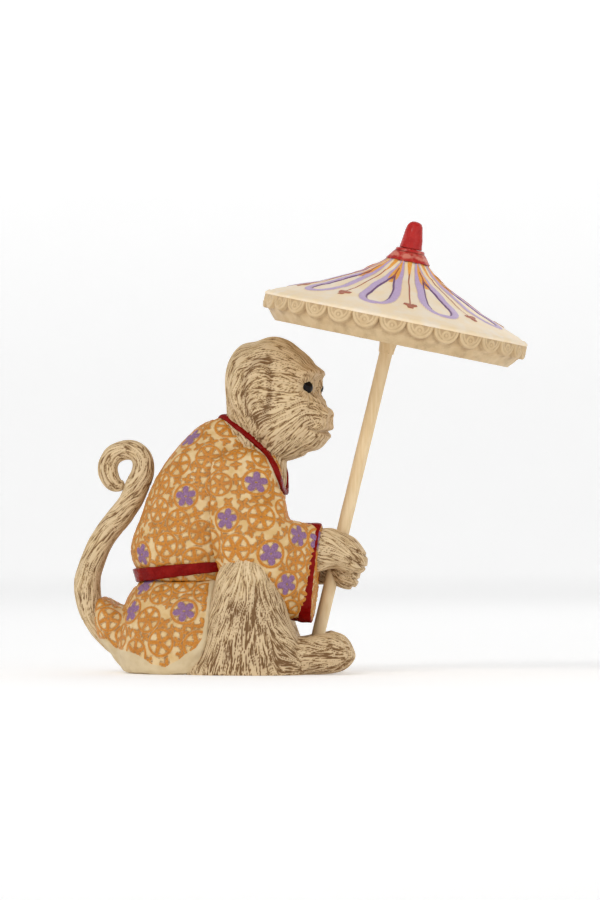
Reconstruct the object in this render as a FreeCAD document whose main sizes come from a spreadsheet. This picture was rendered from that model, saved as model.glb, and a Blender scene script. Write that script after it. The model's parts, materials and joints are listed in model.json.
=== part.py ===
import FreeCAD, Part
import math
import os
import Sketcher

# Seated monkey in a patterned robe, both hands round the pole of a parasol.
# X points the way the monkey faces, Z is up and the monkey's right side is at -Y.
# The origin is on the flat underside. Lengths are in millimetres, angles in degrees.
# The robe, limbs, head and tail are free-form castings. Each is drawn as ovals that
# stand one behind the other along it, with a smooth skin through them. An oval is
# given by its two ends in the XZ plane, how far it lies to the side, and its half width.

SIZES = [
    ("base_thickness", 4.0, "seat plate under the robe"),
    ("base_inset", 4.5, "how far the seat plate stays inside the hem"),
    ("base_edge", 2.0, "rounding of the seat plate's lower edge"),
    ("tongue_width", 17.0, "part of the seat plate between the feet"),
    ("boss_diameter", 13.0, "boss round the parasol's socket"),
    ("boss_height", 13.0, "top of the boss over the ground"),
    ("socket_floor", 4.0, "height of the pole's foot over the ground"),
    ("torso_place", -14.5, "middle of the waist, forward of the origin"),
    ("torso_length", 72.0, "front to back unit of the upper robe"),
    ("torso_height", 78.0, "waist to nape"),
    ("torso_width", 62.0, "across the upper robe"),
    ("skirt_length", 72.0, "front to back unit of the skirt"),
    ("skirt_height", 40.2, "seat plate to waist"),
    ("skirt_width", 82.0, "across the hem"),
    ("train_length", 26.0, "how far the train reaches behind the skirt"),
    ("train_height", 36.0, "height of the train"),
    ("train_width", 40.0, "across the train"),
    ("sash_proud", 1.4, "how far the sash stands out from the robe"),
    ("collar_width", 4.3, "width of the collar band along the neck"),
    ("cuff_width", 4.2, "width of the band at each cuff"),
    ("cuff_proud", 1.0, "how far the cuff bands stand out"),
    ("sleeve_length", 53.0, "front to back unit of a sleeve"),
    ("sleeve_height", 50.0, "fall of a sleeve at the cuff"),
    ("sleeve_width", 26.0, "thickness of a sleeve"),
    ("sleeve_spread", 28.0, "middle of a sleeve from the middle of the body"),
    ("left_sleeve_back", 7.0, "how far the left sleeve sits behind the right"),
    ("leg_length", 56.0, "front to back unit of a haunch"),
    ("leg_height", 54.0, "ground to knee"),
    ("leg_width", 36.0, "thickness of a haunch"),
    ("leg_spread", 29.0, "middle of a haunch from the middle of the body"),
    ("left_leg_back", 7.0, "how far the left leg sits behind the right"),
    ("foot_length", 28.0, "front of the shin to the toes"),
    ("foot_height", 20.0, "height of a foot"),
    ("foot_width", 22.0, "across a foot"),
    ("hand_length", 24.0, "cuff to knuckles"),
    ("hand_height", 22.0, "height of a hand"),
    ("hand_width", 20.0, "thickness of a hand"),
    ("head_length", 54.0, "front to back unit of the head"),
    ("head_height", 60.0, "chin to crown"),
    ("head_width", 43.0, "across the head"),
    ("head_turn", 9.0, "how far the face is turned to its own right"),
    ("eye_diameter", 6.4, "eye bead"),
    ("eye_spread", 8.6, "middle of an eye from the middle of the face"),
    ("ear_length", 9.0, "ear, front to back"),
    ("ear_height", 21.0, "ear, top to bottom"),
    ("ear_thickness", 7.0, "ear, across"),
    ("brow_length", 8.0, "brow ridge, front to back"),
    ("brow_height", 6.4, "brow ridge, top to bottom"),
    ("brow_width", 27.0, "brow ridge, across"),
    ("tail_length", 42.0, "front to back unit of the tail"),
    ("tail_height", 112.0, "height unit of the tail"),
    ("tail_diameter", 12.0, "thickness of the tail's stem"),
    ("pole_diameter", 6.35, "quarter inch rod"),
    ("pole_length", 178.0, "foot to the end in the hub"),
    ("pole_tilt", 13.65, "lean of the pole, forward of upright"),
    ("pole_edge", 0.5, "chamfer of the pole's ends"),
    ("slide_clearance", 0.2, "radial play of the pole in the fists and socket"),
    ("turn_clearance", 0.06, "radial play of the pole in the hub"),
    ("seat_gap", 0.1, "play at the end of a blind bore"),
    ("ferrule_length", 9.5, "tapered collar under the hub"),
    ("ferrule_diameter", 9.4, "widest part of the collar"),
    ("ferrule_wall", 0.5, "thinnest part of the collar"),
    ("hub_gap", 0.3, "space between the collar and the hub"),
    ("canopy_diameter", 128.6, "across the rim"),
    ("crown_height", 28.5, "rim to crown"),
    ("crown_diameter", 18.8, "across the crown"),
    ("shell_thickness", 3.0, "wall of the canopy"),
    ("canopy_cant", 2.05, "the canopy stands this much more upright than the pole"),
    ("pole_to_crown", 22.0, "end of the pole to the crown"),
    ("hub_diameter", 14.0, "hub inside the canopy"),
    ("hub_drop", 7.9, "how far the hub hangs below the rim"),
    ("rim_thickness", 1.2, "edge of the canopy over the valance"),
    ("band_height", 7.4, "upper band of the valance"),
    ("band_step", 4.3, "the lower band stands in by this much"),
    ("skirt_drop", 11.5, "whole drop of the valance under the canopy's edge"),
    ("skirt_taper", 2.6, "how far the lower band draws in"),
    ("valance_wall", 3.2, "wall of the valance"),
    ("scallop_count", 30, "scallops round the valance"),
    ("scallop_height", 6.6, "height of a scallop"),
    ("scallop_relief", 0.9, "how far a scallop stands out"),
    ("cap_diameter", 21.2, "red cap on the crown, across its skirt"),
    ("cap_neck", 13.6, "red cap, across its top"),
    ("cap_height", 5.0, "red cap, height"),
    ("cap_edge", 0.9, "red cap, edge of its skirt"),
    ("finial_diameter", 11.4, "finial at its foot"),
    ("finial_tip", 7.0, "finial near its tip"),
    ("finial_height", 13.6, "finial, height"),
    ("overrun", 2.0, "how far cutting tools pass the faces they cut"),
]

# shares of length and height for both ends, of the spread, and of the width
TORSO_SHARES = [
    (-0.42, 0.07, 0.44, 0.09, 0.00, 0.47),
    (-0.46, 0.17, 0.48, 0.18, 0.00, 0.50),
    (-0.42, 0.33, 0.53, 0.31, 0.00, 0.50),
    (-0.36, 0.49, 0.56, 0.41, 0.00, 0.49),
    (-0.28, 0.66, 0.56, 0.45, 0.00, 0.46),
    (-0.18, 0.79, 0.55, 0.48, 0.00, 0.43),
    (-0.06, 0.91, 0.55, 0.505, 0.00, 0.38),
]
WAIST_SHARE = (-0.40, 0.00, 0.42, 0.00, 0.00, 0.44)
COLLAR_SHARE = (0.12, 1.00, 0.565, 0.535, 0.00, 0.285)
SKIRT_SHARES = [
    (-0.51, 0.00, 0.55, 0.00, 0.00, 0.47),
    (-0.56, 0.22, 0.55, 0.22, 0.00, 0.50),
    (-0.54, 0.46, 0.53, 0.46, 0.00, 0.48),
    (-0.50, 0.71, 0.49, 0.72, 0.00, 0.43),
    (-0.46, 0.87, 0.465, 0.88, 0.00, 0.38),
]
TRAIN_SHARES = [
    (0.00, 0.85, 0.00, 0.00, 0.00, 0.50),
    (-0.24, 0.79, -0.24, 0.01, 0.00, 0.47),
    (-0.50, 0.77, -0.50, 0.03, 0.00, 0.45),
    (-0.73, 0.86, -0.71, 0.12, 0.00, 0.40),
    (-0.89, 0.90, -0.86, 0.26, 0.00, 0.33),
    (-0.99, 0.81, -0.97, 0.45, 0.00, 0.15),
]
TRAIN_PLACE_SHARE = -0.34
SASH_LOW_SHARE = (-0.41, -0.005, 0.43, 0.09, 0.00, 0.46)
SASH_HIGH_SHARE = (-0.435, 0.075, 0.455, 0.145, 0.00, 0.485)
SLEEVE_SHARES = [
    (-0.14, 0.64, -0.62, 0.70, 0.42, 0.24),
    (-0.09, 0.45, -0.75, 0.52, 0.68, 0.38),
    (-0.02, 0.16, -0.73, 0.26, 0.82, 0.46),
    (0.00, 0.05, -0.70, -0.03, 0.93, 0.50),
    (0.01, 0.00, -0.63, -0.37, 1.00, 0.50),
    (0.04, -0.02, -0.39, -0.78, 0.96, 0.46),
    (0.13, -0.04, -0.09, -0.96, 0.75, 0.42),
]
CUFF_SHARE = (0.29, -0.07, 0.20, -0.98, 0.46, 0.38)
SLEEVE_PLACE_SHARES = (0.626, 0.387)
LEG_SHARES = [
    (-0.55, 0.00, 0.46, 0.00, 1.00, 0.50),
    (-0.49, 0.11, 0.46, 0.12, 1.00, 0.51),
    (-0.39, 0.33, 0.39, 0.34, 1.00, 0.50),
    (-0.34, 0.59, 0.31, 0.57, 1.00, 0.44),
    (-0.30, 0.76, 0.24, 0.75, 1.00, 0.40),
    (-0.25, 0.89, 0.16, 0.89, 1.00, 0.33),
    (-0.17, 0.96, 0.09, 0.96, 1.00, 0.22),
    (-0.09, 0.99, 0.02, 0.99, 1.00, 0.08),
]
LEG_PLACE_SHARE = 0.393
FOOT_SHARES = [
    (-0.26, 1.06, -0.30, 0.01, 0.86, 0.50),
    (0.00, 0.86, -0.03, 0.01, 0.83, 0.50),
    (0.275, 0.94, 0.275, 0.015, 0.76, 0.50),
    (0.545, 0.98, 0.545, 0.05, 0.69, 0.48),
    (0.71, 0.91, 0.71, 0.12, 0.66, 0.43),
    (0.83, 0.67, 0.82, 0.26, 0.64, 0.32),
    (0.88, 0.53, 0.88, 0.38, 0.64, 0.14),
]
FOOT_PLACE_SHARE = 0.43
RIGHT_HAND_SHARES = [
    (-0.31, 0.44, -0.31, -0.39, 0.50, 0.42),
    (0.00, 0.46, 0.00, -0.44, 0.43, 0.47),
    (0.22, 0.49, 0.18, -0.39, 0.32, 0.47),
    (0.47, 0.41, 0.41, -0.39, 0.25, 0.47),
    (0.69, 0.28, 0.65, -0.48, 0.18, 0.45),
    (0.86, 0.09, 0.82, -0.48, 0.14, 0.38),
    (0.96, -0.13, 0.94, -0.33, 0.125, 0.15),
]
LEFT_HAND_SHARES = [
    (-0.40, 0.11, -0.40, -0.70, 0.45, 0.42),
    (-0.14, 0.11, -0.14, -0.72, 0.43, 0.45),
    (0.17, 0.11, 0.13, -0.72, 0.25, 0.45),
    (0.42, 0.04, 0.40, -0.79, 0.07, 0.45),
    (0.65, -0.13, 0.62, -0.83, 0.00, 0.40),
    (0.80, -0.33, 0.76, -0.70, -0.04, 0.25),
]
HAND_PLACE_SHARE = 0.475
GRIP_SHARE = 0.357
HEAD_SHARES = [
    (-0.395, 0.64, -0.385, 0.54, 0.00, 0.09),
    (-0.365, 0.77, -0.34, 0.42, 0.00, 0.26),
    (-0.31, 0.88, -0.27, 0.24, 0.00, 0.40),
    (-0.19, 0.95, -0.14, 0.11, 0.00, 0.48),
    (-0.05, 0.98, -0.02, 0.04, 0.00, 0.50),
    (0.08, 0.99, 0.09, 0.01, 0.00, 0.49),
    (0.21, 0.94, 0.17, 0.01, 0.00, 0.45),
    (0.32, 0.88, 0.24, 0.03, 0.00, 0.41),
    (0.40, 0.80, 0.31, 0.06, 0.00, 0.37),
    (0.44, 0.70, 0.37, 0.08, 0.00, 0.34),
    (0.42, 0.60, 0.425, 0.09, 0.00, 0.32),
    (0.445, 0.53, 0.465, 0.11, 0.00, 0.29),
    (0.49, 0.475, 0.505, 0.15, 0.00, 0.26),
    (0.54, 0.42, 0.535, 0.21, 0.00, 0.21),
    (0.57, 0.36, 0.56, 0.26, 0.00, 0.10),
]
NECK_SHARES = [
    (-0.40, 0.44, 0.14, -0.14, 0.00, 0.36),
    (-0.35, 0.54, 0.13, 0.04, 0.00, 0.35),
    (-0.26, 0.64, 0.12, 0.24, 0.00, 0.30),
]
HEAD_PLACE_SHARES = (0.17, -0.04)
HEAD_TURN_SHARE = 0.046
NECK_SHARE = 0.91
COLLAR_TAPER_SHARE = 0.97
EYE_PLACE_SHARES = (0.365, 0.592)
EAR_PLACE_SHARES = (-0.185, 0.575, 0.435)
BROW_PLACE_SHARES = (0.385, 0.685)
# shares of the tail's length, height and thickness
TAIL_SHARES = [
    (0.60, 0.085, 0.80),
    (0.43, 0.10, 0.90),
    (0.23, 0.125, 1.00),
    (0.09, 0.17, 1.00),
    (-0.02, 0.225, 1.00),
    (-0.10, 0.285, 1.00),
    (-0.135, 0.345, 1.00),
    (-0.135, 0.40, 1.00),
    (-0.10, 0.45, 0.96),
    (-0.02, 0.53, 0.92),
    (0.09, 0.60, 0.92),
    (0.22, 0.66, 0.92),
    (0.34, 0.72, 0.90),
    (0.44, 0.79, 0.88),
    (0.51, 0.86, 0.84),
    (0.50, 0.92, 0.80),
    (0.40, 0.955, 0.76),
    (0.27, 0.955, 0.74),
    (0.15, 0.93, 0.72),
    (0.10, 0.88, 0.68),
    (0.13, 0.83, 0.60),
    (0.20, 0.805, 0.44),
    (0.27, 0.805, 0.26),
]
TAIL_PLACE_SHARE = -0.69
# shares of the canopy's radius and height, rim to crown
CANOPY_SHARES = [
    (0.90, 0.12),
    (0.76, 0.235),
    (0.53, 0.45),
    (0.33, 0.67),
]
OVAL_POINTS = 12
OVAL_FULLNESS = 2.25
CRUMB_SHARE = 0.05
HUB_ROOT_SHARE = 0.72
FERRULE_TAPER_SHARE = 0.75
CAP_SHOULDER_SHARE = 0.8
TIP_ROUNDING_SHARE = 0.42

doc = FreeCAD.newDocument("monkey")
sheet = doc.addObject("Spreadsheet::Sheet", "sizes")
for row, (alias, value, meaning) in enumerate(SIZES, start=1):
    sheet.set("A%d" % row, meaning)
    sheet.set("B%d" % row, str(value))
    sheet.setAlias("B%d" % row, alias)
doc.recompute()
nodes = {}


def size(alias):
    return float(sheet.get(alias))


def keep(name, feature):
    """Name a finished sub-part and list it for writing."""
    feature.Label = name
    nodes[name] = feature
    return feature


# free-form castings

class Casting:
    """Unit lengths and place that turn shares into points."""

    def __init__(self, place, length, height, width, spread=0.0, side=1):
        self.place = place
        self.length = length
        self.height = height
        self.width = width
        self.spread = spread
        self.side = side

    def oval(self, share):
        """Ends, sideways offset and half width of one oval."""
        back = self.place + FreeCAD.Vector(share[0] * self.length, 0, share[1] * self.height)
        front = self.place + FreeCAD.Vector(share[2] * self.length, 0, share[3] * self.height)
        aside = FreeCAD.Vector(0, self.side * share[4] * self.spread, 0)
        return back + aside, front + aside, share[5] * self.width


def scaled(oval, share, lift=None):
    """The same oval drawn in or out about its middle, and moved along lift."""
    back, front, half_width = oval
    middle = (back + front) * 0.5
    shift = lift if lift else FreeCAD.Vector()
    return (middle + (back - middle) * share + shift,
            middle + (front - middle) * share + shift, half_width * share)


def swollen(oval, proud):
    """The same oval, proud by one distance all round."""
    back, front, half_width = oval
    reach = (front - back).normalize() * proud
    return back - reach, front + reach, half_width + proud


def square_to(oval):
    """Direction square to an oval, away from its start."""
    back, front, _ = oval
    return (front - back).cross(FreeCAD.Vector(0, 1, 0)).normalize()


def fuller(value):
    return math.copysign(abs(value) ** (2.0 / OVAL_FULLNESS), value)


def wire(oval):
    back, front, half_width = oval
    middle = (back + front) * 0.5
    reach = (front - back) * 0.5
    points = []
    for step in range(OVAL_POINTS):
        turn = 2 * math.pi * step / OVAL_POINTS
        across = FreeCAD.Vector(0, half_width * fuller(math.sin(turn)), 0)
        points.append(middle - reach * fuller(math.cos(turn)) + across)
    curve = Part.BSplineCurve()
    knots = [step / OVAL_POINTS for step in range(OVAL_POINTS + 1)]
    curve.interpolate(Points=points, PeriodicFlag=True, Parameters=knots)
    return Part.Wire([curve.toShape()])


def skin(ovals, turn=None):
    """A solid with a smooth skin through ovals, turned about an upright line."""
    shape = Part.makeLoft([wire(oval) for oval in ovals], True, False)
    if turn:
        about, angle = turn
        shape.rotate(about, FreeCAD.Vector(0, 0, 1), angle)
    return shape


def whole(shape):
    """The solids of a shape without the crumbs that a cut can leave."""
    solids = [solid for solid in shape.Solids if solid.Volume > CRUMB_SHARE * shape.Volume]
    return solids[0] if len(solids) == 1 else Part.makeCompound(solids)


def carved(blank, tools):
    return whole(blank.cut(tools))


def casting(name, shape):
    feature = doc.addObject("Part::Feature", name)
    feature.Shape = shape
    return keep(name, feature)


# sketches with every corner held by the sheet

def origin_feature(body, role):
    for feature in body.Origin.OriginFeatures:
        if feature.Role == role:
            return feature
    raise RuntimeError("no origin feature " + role)


def new_sketch(body, name, role):
    sketch = body.newObject("Sketcher::SketchObject", name)
    sketch.AttachmentSupport = [(origin_feature(body, role), "")]
    sketch.MapMode = "FlatFace"
    return sketch


def hold(sketch, edge, end, across, up):
    """Tie one point of a sketch to a pair of sheet expressions."""
    for axis, kind, expression in ((-2, "DistanceX", across), (-1, "DistanceY", up)):
        if expression == "0":
            sketch.addConstraint(Sketcher.Constraint("PointOnObject", edge, end, axis))
            continue
        value = float(sheet.evalExpression(expression))
        index = sketch.addConstraint(Sketcher.Constraint(kind, -1, 1, edge, end, value))
        sketch.setExpression("Constraints[%d]" % index, expression)


def outline(sketch, corners):
    """Straight-sided closed outline through corners given as sheet expressions."""
    places = [FreeCAD.Vector(float(sheet.evalExpression(across)),
                             float(sheet.evalExpression(up)), 0) for across, up in corners]
    count = len(places)
    for index in range(count):
        sketch.addGeometry(Part.LineSegment(places[index], places[(index + 1) % count]))
    for index in range(count):
        following = (index + 1) % count
        sketch.addConstraint(Sketcher.Constraint("Coincident", index, 2, following, 1))
    for index, (across, up) in enumerate(corners):
        hold(sketch, index, 1, across, up)


def disc(sketch, across, radius):
    """Circle on the sketch's own X axis."""
    middle = FreeCAD.Vector(float(sheet.evalExpression(across)), 0, 0)
    reach = float(sheet.evalExpression(radius))
    sketch.addGeometry(Part.Circle(middle, FreeCAD.Vector(0, 0, 1), reach))
    hold(sketch, 0, 3, across, "0")
    index = sketch.addConstraint(Sketcher.Constraint("Radius", 0, reach))
    sketch.setExpression("Constraints[%d]" % index, radius)


def pad(body, name, sketch, length, reverse=False):
    feature = body.newObject("PartDesign::Pad", name)
    feature.Profile = sketch
    feature.Reversed = reverse
    feature.setExpression("Length", length)
    return feature


def turned(body, name, corners):
    """Solid of revolution about the body's Z axis."""
    sketch = new_sketch(body, name + "_profile", "XZ_Plane")
    outline(sketch, corners)
    feature = body.newObject("PartDesign::Revolution", name)
    feature.Profile = sketch
    feature.ReferenceAxis = (sketch, ["V_Axis"])
    feature.Angle = 360
    return feature


def edges_where(shape, wanted):
    return ["Edge%d" % (index + 1) for index, edge in enumerate(shape.Edges) if wanted(edge)]


def rounded(body, name, base, radius, wanted):
    """Fillet on the edges of base for which wanted is true."""
    doc.recompute()
    feature = body.newObject("PartDesign::Fillet", name)
    feature.Base = (base, edges_where(base.Shape, wanted))
    feature.setExpression("Radius", radius)
    return feature


def is_circle_at(edge, radius, height):
    curve = edge.Curve
    return (isinstance(curve, Part.Circle) and abs(curve.Radius - radius) < 0.01
            and abs(curve.Center.z - height) < 0.01)


# where the castings stand

def torso_casting():
    waist = size("base_thickness") + size("skirt_height")
    return Casting(FreeCAD.Vector(size("torso_place"), 0, waist),
                   size("torso_length"), size("torso_height"), size("torso_width"))


def skirt_casting():
    place = FreeCAD.Vector(size("torso_place"), 0, size("base_thickness"))
    return Casting(place, size("skirt_length"), size("skirt_height"), size("skirt_width"))


def sleeve_casting(side, behind):
    torso = torso_casting()
    across, up = SLEEVE_PLACE_SHARES
    place = torso.place + FreeCAD.Vector(across * torso.length - behind, 0, up * torso.height)
    return Casting(place, size("sleeve_length"), size("sleeve_height"),
                   size("sleeve_width"), size("sleeve_spread"), side)


def leg_casting(side, behind):
    place = FreeCAD.Vector(size("torso_place") + LEG_PLACE_SHARE * size("skirt_length") - behind, 0, 0)
    return Casting(place, size("leg_length"), size("leg_height"),
                   size("leg_width"), size("leg_spread"), side)


def foot_casting(side, behind):
    place = leg_casting(side, behind).place
    forward = FreeCAD.Vector(FOOT_PLACE_SHARE * size("leg_length"), 0, 0)
    return Casting(place + forward, size("foot_length"), size("foot_height"),
                   size("foot_width"), size("leg_spread"), side)


def hand_casting(side):
    back, front, _ = sleeve_casting(-1, 0).oval(CUFF_SHARE)
    middle = (back + front) * 0.5
    place = FreeCAD.Vector(middle.x, 0, middle.z + HAND_PLACE_SHARE * size("hand_height"))
    return Casting(place, size("hand_length"), size("hand_height"),
                   size("hand_width"), size("sleeve_spread"), side)


def head_casting():
    back, front, _ = torso_casting().oval(COLLAR_SHARE)
    across, up = HEAD_PLACE_SHARES
    shift = FreeCAD.Vector(across * size("head_length"), 0, up * size("head_height"))
    return Casting((back + front) * 0.5 + shift,
                   size("head_length"), size("head_height"), size("head_width"))


def head_turn():
    """Upright line and angle by which the head is turned."""
    head = head_casting()
    about = head.place + FreeCAD.Vector(HEAD_TURN_SHARE * head.length, 0, 0)
    return about, -size("head_turn")


def in_head(across, aside, up):
    """Placement of a feature of the head, turned with it."""
    head = head_casting()
    about, angle = head_turn()
    turn = FreeCAD.Rotation(FreeCAD.Vector(0, 0, 1), angle)
    point = head.place + FreeCAD.Vector(across * head.length, aside, up * head.height)
    return FreeCAD.Placement(about + turn.multVec(point - about), turn)


def pole_axis():
    lean = math.radians(size("pole_tilt"))
    return FreeCAD.Vector(math.sin(lean), 0, math.cos(lean))


def pole_foot():
    """Middle of the pole's lower end, straight below the grip along the pole."""
    hand = hand_casting(-1)
    grip = hand.place + FreeCAD.Vector(GRIP_SHARE * hand.length, 0, 0)
    return grip - pole_axis() * ((grip.z - size("socket_floor")) / pole_axis().z)


def on_pole(distance):
    """Placement with Z along the pole, at a distance from its foot."""
    turn = FreeCAD.Rotation(FreeCAD.Vector(0, 1, 0), size("pole_tilt"))
    return FreeCAD.Placement(pole_foot() + pole_axis() * distance, turn)


def canopy_placement():
    """Origin in the middle of the rim, Z towards the crown."""
    lean = size("pole_tilt") - size("canopy_cant")
    turn = FreeCAD.Rotation(FreeCAD.Vector(0, 1, 0), lean)
    crown = pole_foot() + pole_axis() * (size("pole_length") + size("pole_to_crown"))
    return FreeCAD.Placement(crown - turn.multVec(FreeCAD.Vector(0, 0, size("crown_height"))), turn)


# the monkey

def ellipsoid(length, width, height, placement):
    """Egg with its three diameters, from a unit sphere."""
    stretch = FreeCAD.Matrix()
    stretch.scale(FreeCAD.Vector(length * 0.5, width * 0.5, height * 0.5))
    shape = Part.makeSphere(1.0).transformGeometry(stretch)
    shape.Placement = placement
    return shape


def upper_robe():
    torso = torso_casting()
    shares = [WAIST_SHARE] + TORSO_SHARES + [COLLAR_SHARE]
    return skin([torso.oval(share) for share in shares])


def lower_robe():
    """Skirt and train, up to the flat face under the upper robe."""
    skirt = skirt_casting()
    waist = torso_casting().oval(WAIST_SHARE)
    bell = skin([skirt.oval(share) for share in SKIRT_SHARES] + [waist])
    edge = skirt.place + FreeCAD.Vector(TRAIN_PLACE_SHARE * skirt.length, 0, 0)
    train = Casting(edge, size("train_length"), size("train_height"), size("train_width"))
    return bell.fuse(skin([train.oval(share) for share in TRAIN_SHARES]))


def head_blank():
    head = head_casting()
    skull = skin([head.oval(share) for share in HEAD_SHARES], head_turn())
    root = scaled(torso_casting().oval(COLLAR_SHARE), NECK_SHARE)
    neck = skin([root] + [head.oval(share) for share in NECK_SHARES])
    across, up, aside = EAR_PLACE_SHARES
    ears = [ellipsoid(size("ear_length"), size("ear_thickness"), size("ear_height"),
                      in_head(across, side * aside * head.width, up)) for side in (-1, 1)]
    across, up = BROW_PLACE_SHARES
    brow = ellipsoid(size("brow_length"), size("brow_width"), size("brow_height"),
                     in_head(across, 0, up))
    return skull.fuse([neck, brow] + ears)


def make_eye(name, side):
    eye = doc.addObject("Part::Sphere", name)
    eye.setExpression("Radius", "sizes.eye_diameter / 2")
    across, up = EYE_PLACE_SHARES
    eye.Placement = in_head(across, side * size("eye_spread"), up)
    return keep(name, eye)


def leg_shape(side, behind):
    leg = leg_casting(side, behind)
    foot = foot_casting(side, behind)
    haunch = skin([leg.oval(share) for share in LEG_SHARES])
    return haunch.fuse(skin([foot.oval(share) for share in FOOT_SHARES]))


def sleeve_blank(side, behind):
    sleeve = sleeve_casting(side, behind)
    return skin([sleeve.oval(share) for share in SLEEVE_SHARES + [CUFF_SHARE]])


def cuff_blank(side, behind):
    """Raised band round the open end of a sleeve."""
    end = sleeve_casting(side, behind).oval(CUFF_SHARE)
    along = square_to(end) * -size("cuff_width")
    rim = swollen(end, size("cuff_proud"))
    return skin([(rim[0] + along, rim[1] + along, rim[2]), rim])


def hand_blank(side, shares):
    hand = hand_casting(side)
    return skin([hand.oval(share) for share in shares])


def collar_blank():
    """Band that stands on the robe round the neck."""
    seat = torso_casting().oval(COLLAR_SHARE)
    lift = square_to(seat) * size("collar_width")
    return skin([seat, scaled(seat, COLLAR_TAPER_SHARE, lift)])


def sash_blank():
    torso = torso_casting()
    return skin([swollen(torso.oval(share), size("sash_proud"))
                 for share in (SASH_LOW_SHARE, SASH_HIGH_SHARE)])


def tail_ring(point, ahead, radius):
    """Round section square to the tail's path."""
    across = FreeCAD.Vector(ahead).normalize().cross(FreeCAD.Vector(0, 1, 0)) * radius
    return point - across, point + across, radius


def tail_blank():
    reach, rise = size("tail_length"), size("tail_height")
    start = size("torso_place") + TAIL_PLACE_SHARE * size("skirt_length")
    path = [FreeCAD.Vector(start + across * reach, 0, up * rise) for across, up, _ in TAIL_SHARES]
    rings = []
    for index, point in enumerate(path):
        before = path[max(index - 1, 0)]
        after = path[min(index + 1, len(path) - 1)]
        radius = TAIL_SHARES[index][2] * size("tail_diameter") * 0.5
        rings.append(tail_ring(point, after - before, radius))
    return skin(rings)


def make_seat():
    """Plate under the robe, with a tongue and boss between the feet for the pole."""
    body = doc.addObject("PartDesign::Body", "seat_body")
    plate_sketch = new_sketch(body, "plate_outline", "XY_Plane")
    disc(plate_sketch, "sizes.torso_place", "sizes.skirt_width / 2 - sizes.base_inset")
    pad(body, "plate", plate_sketch, "sizes.base_thickness")
    tongue_sketch = new_sketch(body, "tongue_outline", "XY_Plane")
    side = "sizes.tongue_width / 2"
    outline(tongue_sketch, [("0", "-" + side), ("sizes.tongue_reach", "-" + side),
                            ("sizes.tongue_reach", side), ("0", side)])
    pad(body, "tongue", tongue_sketch, "sizes.base_thickness")
    boss_sketch = new_sketch(body, "boss_outline", "XY_Plane")
    disc(boss_sketch, "sizes.tongue_reach", "sizes.boss_diameter / 2")
    boss = pad(body, "boss", boss_sketch, "sizes.boss_height")
    radius = size("skirt_width") * 0.5 - size("base_inset")
    rounded(body, "lower_edge", boss, "sizes.base_edge",
            lambda edge: is_circle_at(edge, radius, 0))
    return body


# the parasol

def bore(name, clearance, start, end):
    """Cutting rod along the pole, between two distances from its foot."""
    rod = doc.addObject("Part::Cylinder", name)
    rod.setExpression("Radius", "sizes.pole_diameter / 2 + sizes." + clearance)
    rod.Height = end - start
    rod.Placement = on_pole(start)
    return rod


def make_pole():
    body = doc.addObject("PartDesign::Body", "pole_body")
    sketch = new_sketch(body, "pole_outline", "XY_Plane")
    disc(sketch, "0", "sizes.pole_diameter / 2")
    rod = pad(body, "rod", sketch, "sizes.pole_length")
    doc.recompute()
    ends = body.newObject("PartDesign::Chamfer", "ends")
    ends.Base = (rod, edges_where(rod.Shape, lambda edge: isinstance(edge.Curve, Part.Circle)))
    ends.setExpression("Size", "sizes.pole_edge")
    body.Placement = on_pole(0)
    return body


def ferrule_top():
    crown = size("pole_length") + size("pole_to_crown")
    return crown - size("crown_height") - size("hub_drop") - size("hub_gap")


def make_ferrule():
    """Tapered collar that is pressed on the pole under the hub."""
    body = doc.addObject("PartDesign::Body", "ferrule_body")
    bored = "sizes.pole_diameter / 2"
    turned(body, "ferrule_taper", [
        (bored, "0"),
        (bored + " + sizes.ferrule_wall", "0"),
        ("sizes.ferrule_diameter / 2", "sizes.ferrule_length * %s" % FERRULE_TAPER_SHARE),
        ("sizes.ferrule_diameter / 2", "sizes.ferrule_length"),
        (bored, "sizes.ferrule_length")])
    body.Placement = on_pole(ferrule_top() - size("ferrule_length"))
    return body


def make_canopy():
    """Shell of the parasol's top, with the hub that turns on the pole."""
    body = doc.addObject("PartDesign::Body", "canopy_body")
    radius = "sizes.canopy_diameter / 2"
    crown = "sizes.crown_diameter / 2"
    rise = "sizes.crown_height"
    wall = " - sizes.shell_thickness"
    outside = [("%s * %s" % (radius, across), "%s * %s" % (rise, up)) for across, up in CANOPY_SHARES]
    inside = [("%s * %s" % (radius, across), "%s * %s%s" % (rise, up, wall))
              for across, up in reversed(CANOPY_SHARES[1:])]
    hub = "sizes.hub_diameter / 2"
    turned(body, "canopy_shell", [("0", "-sizes.hub_drop"), (hub, "-sizes.hub_drop"),
                                  (hub, "%s * %s%s" % (rise, HUB_ROOT_SHARE, wall))] + inside + [
        (radius + " - sizes.band_step - sizes.valance_wall", "-sizes.rim_thickness"),
        (radius, "-sizes.rim_thickness"), (radius, "0")] + outside + [(crown, rise), ("0", rise)])
    body.Placement = canopy_placement()
    return body


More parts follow.
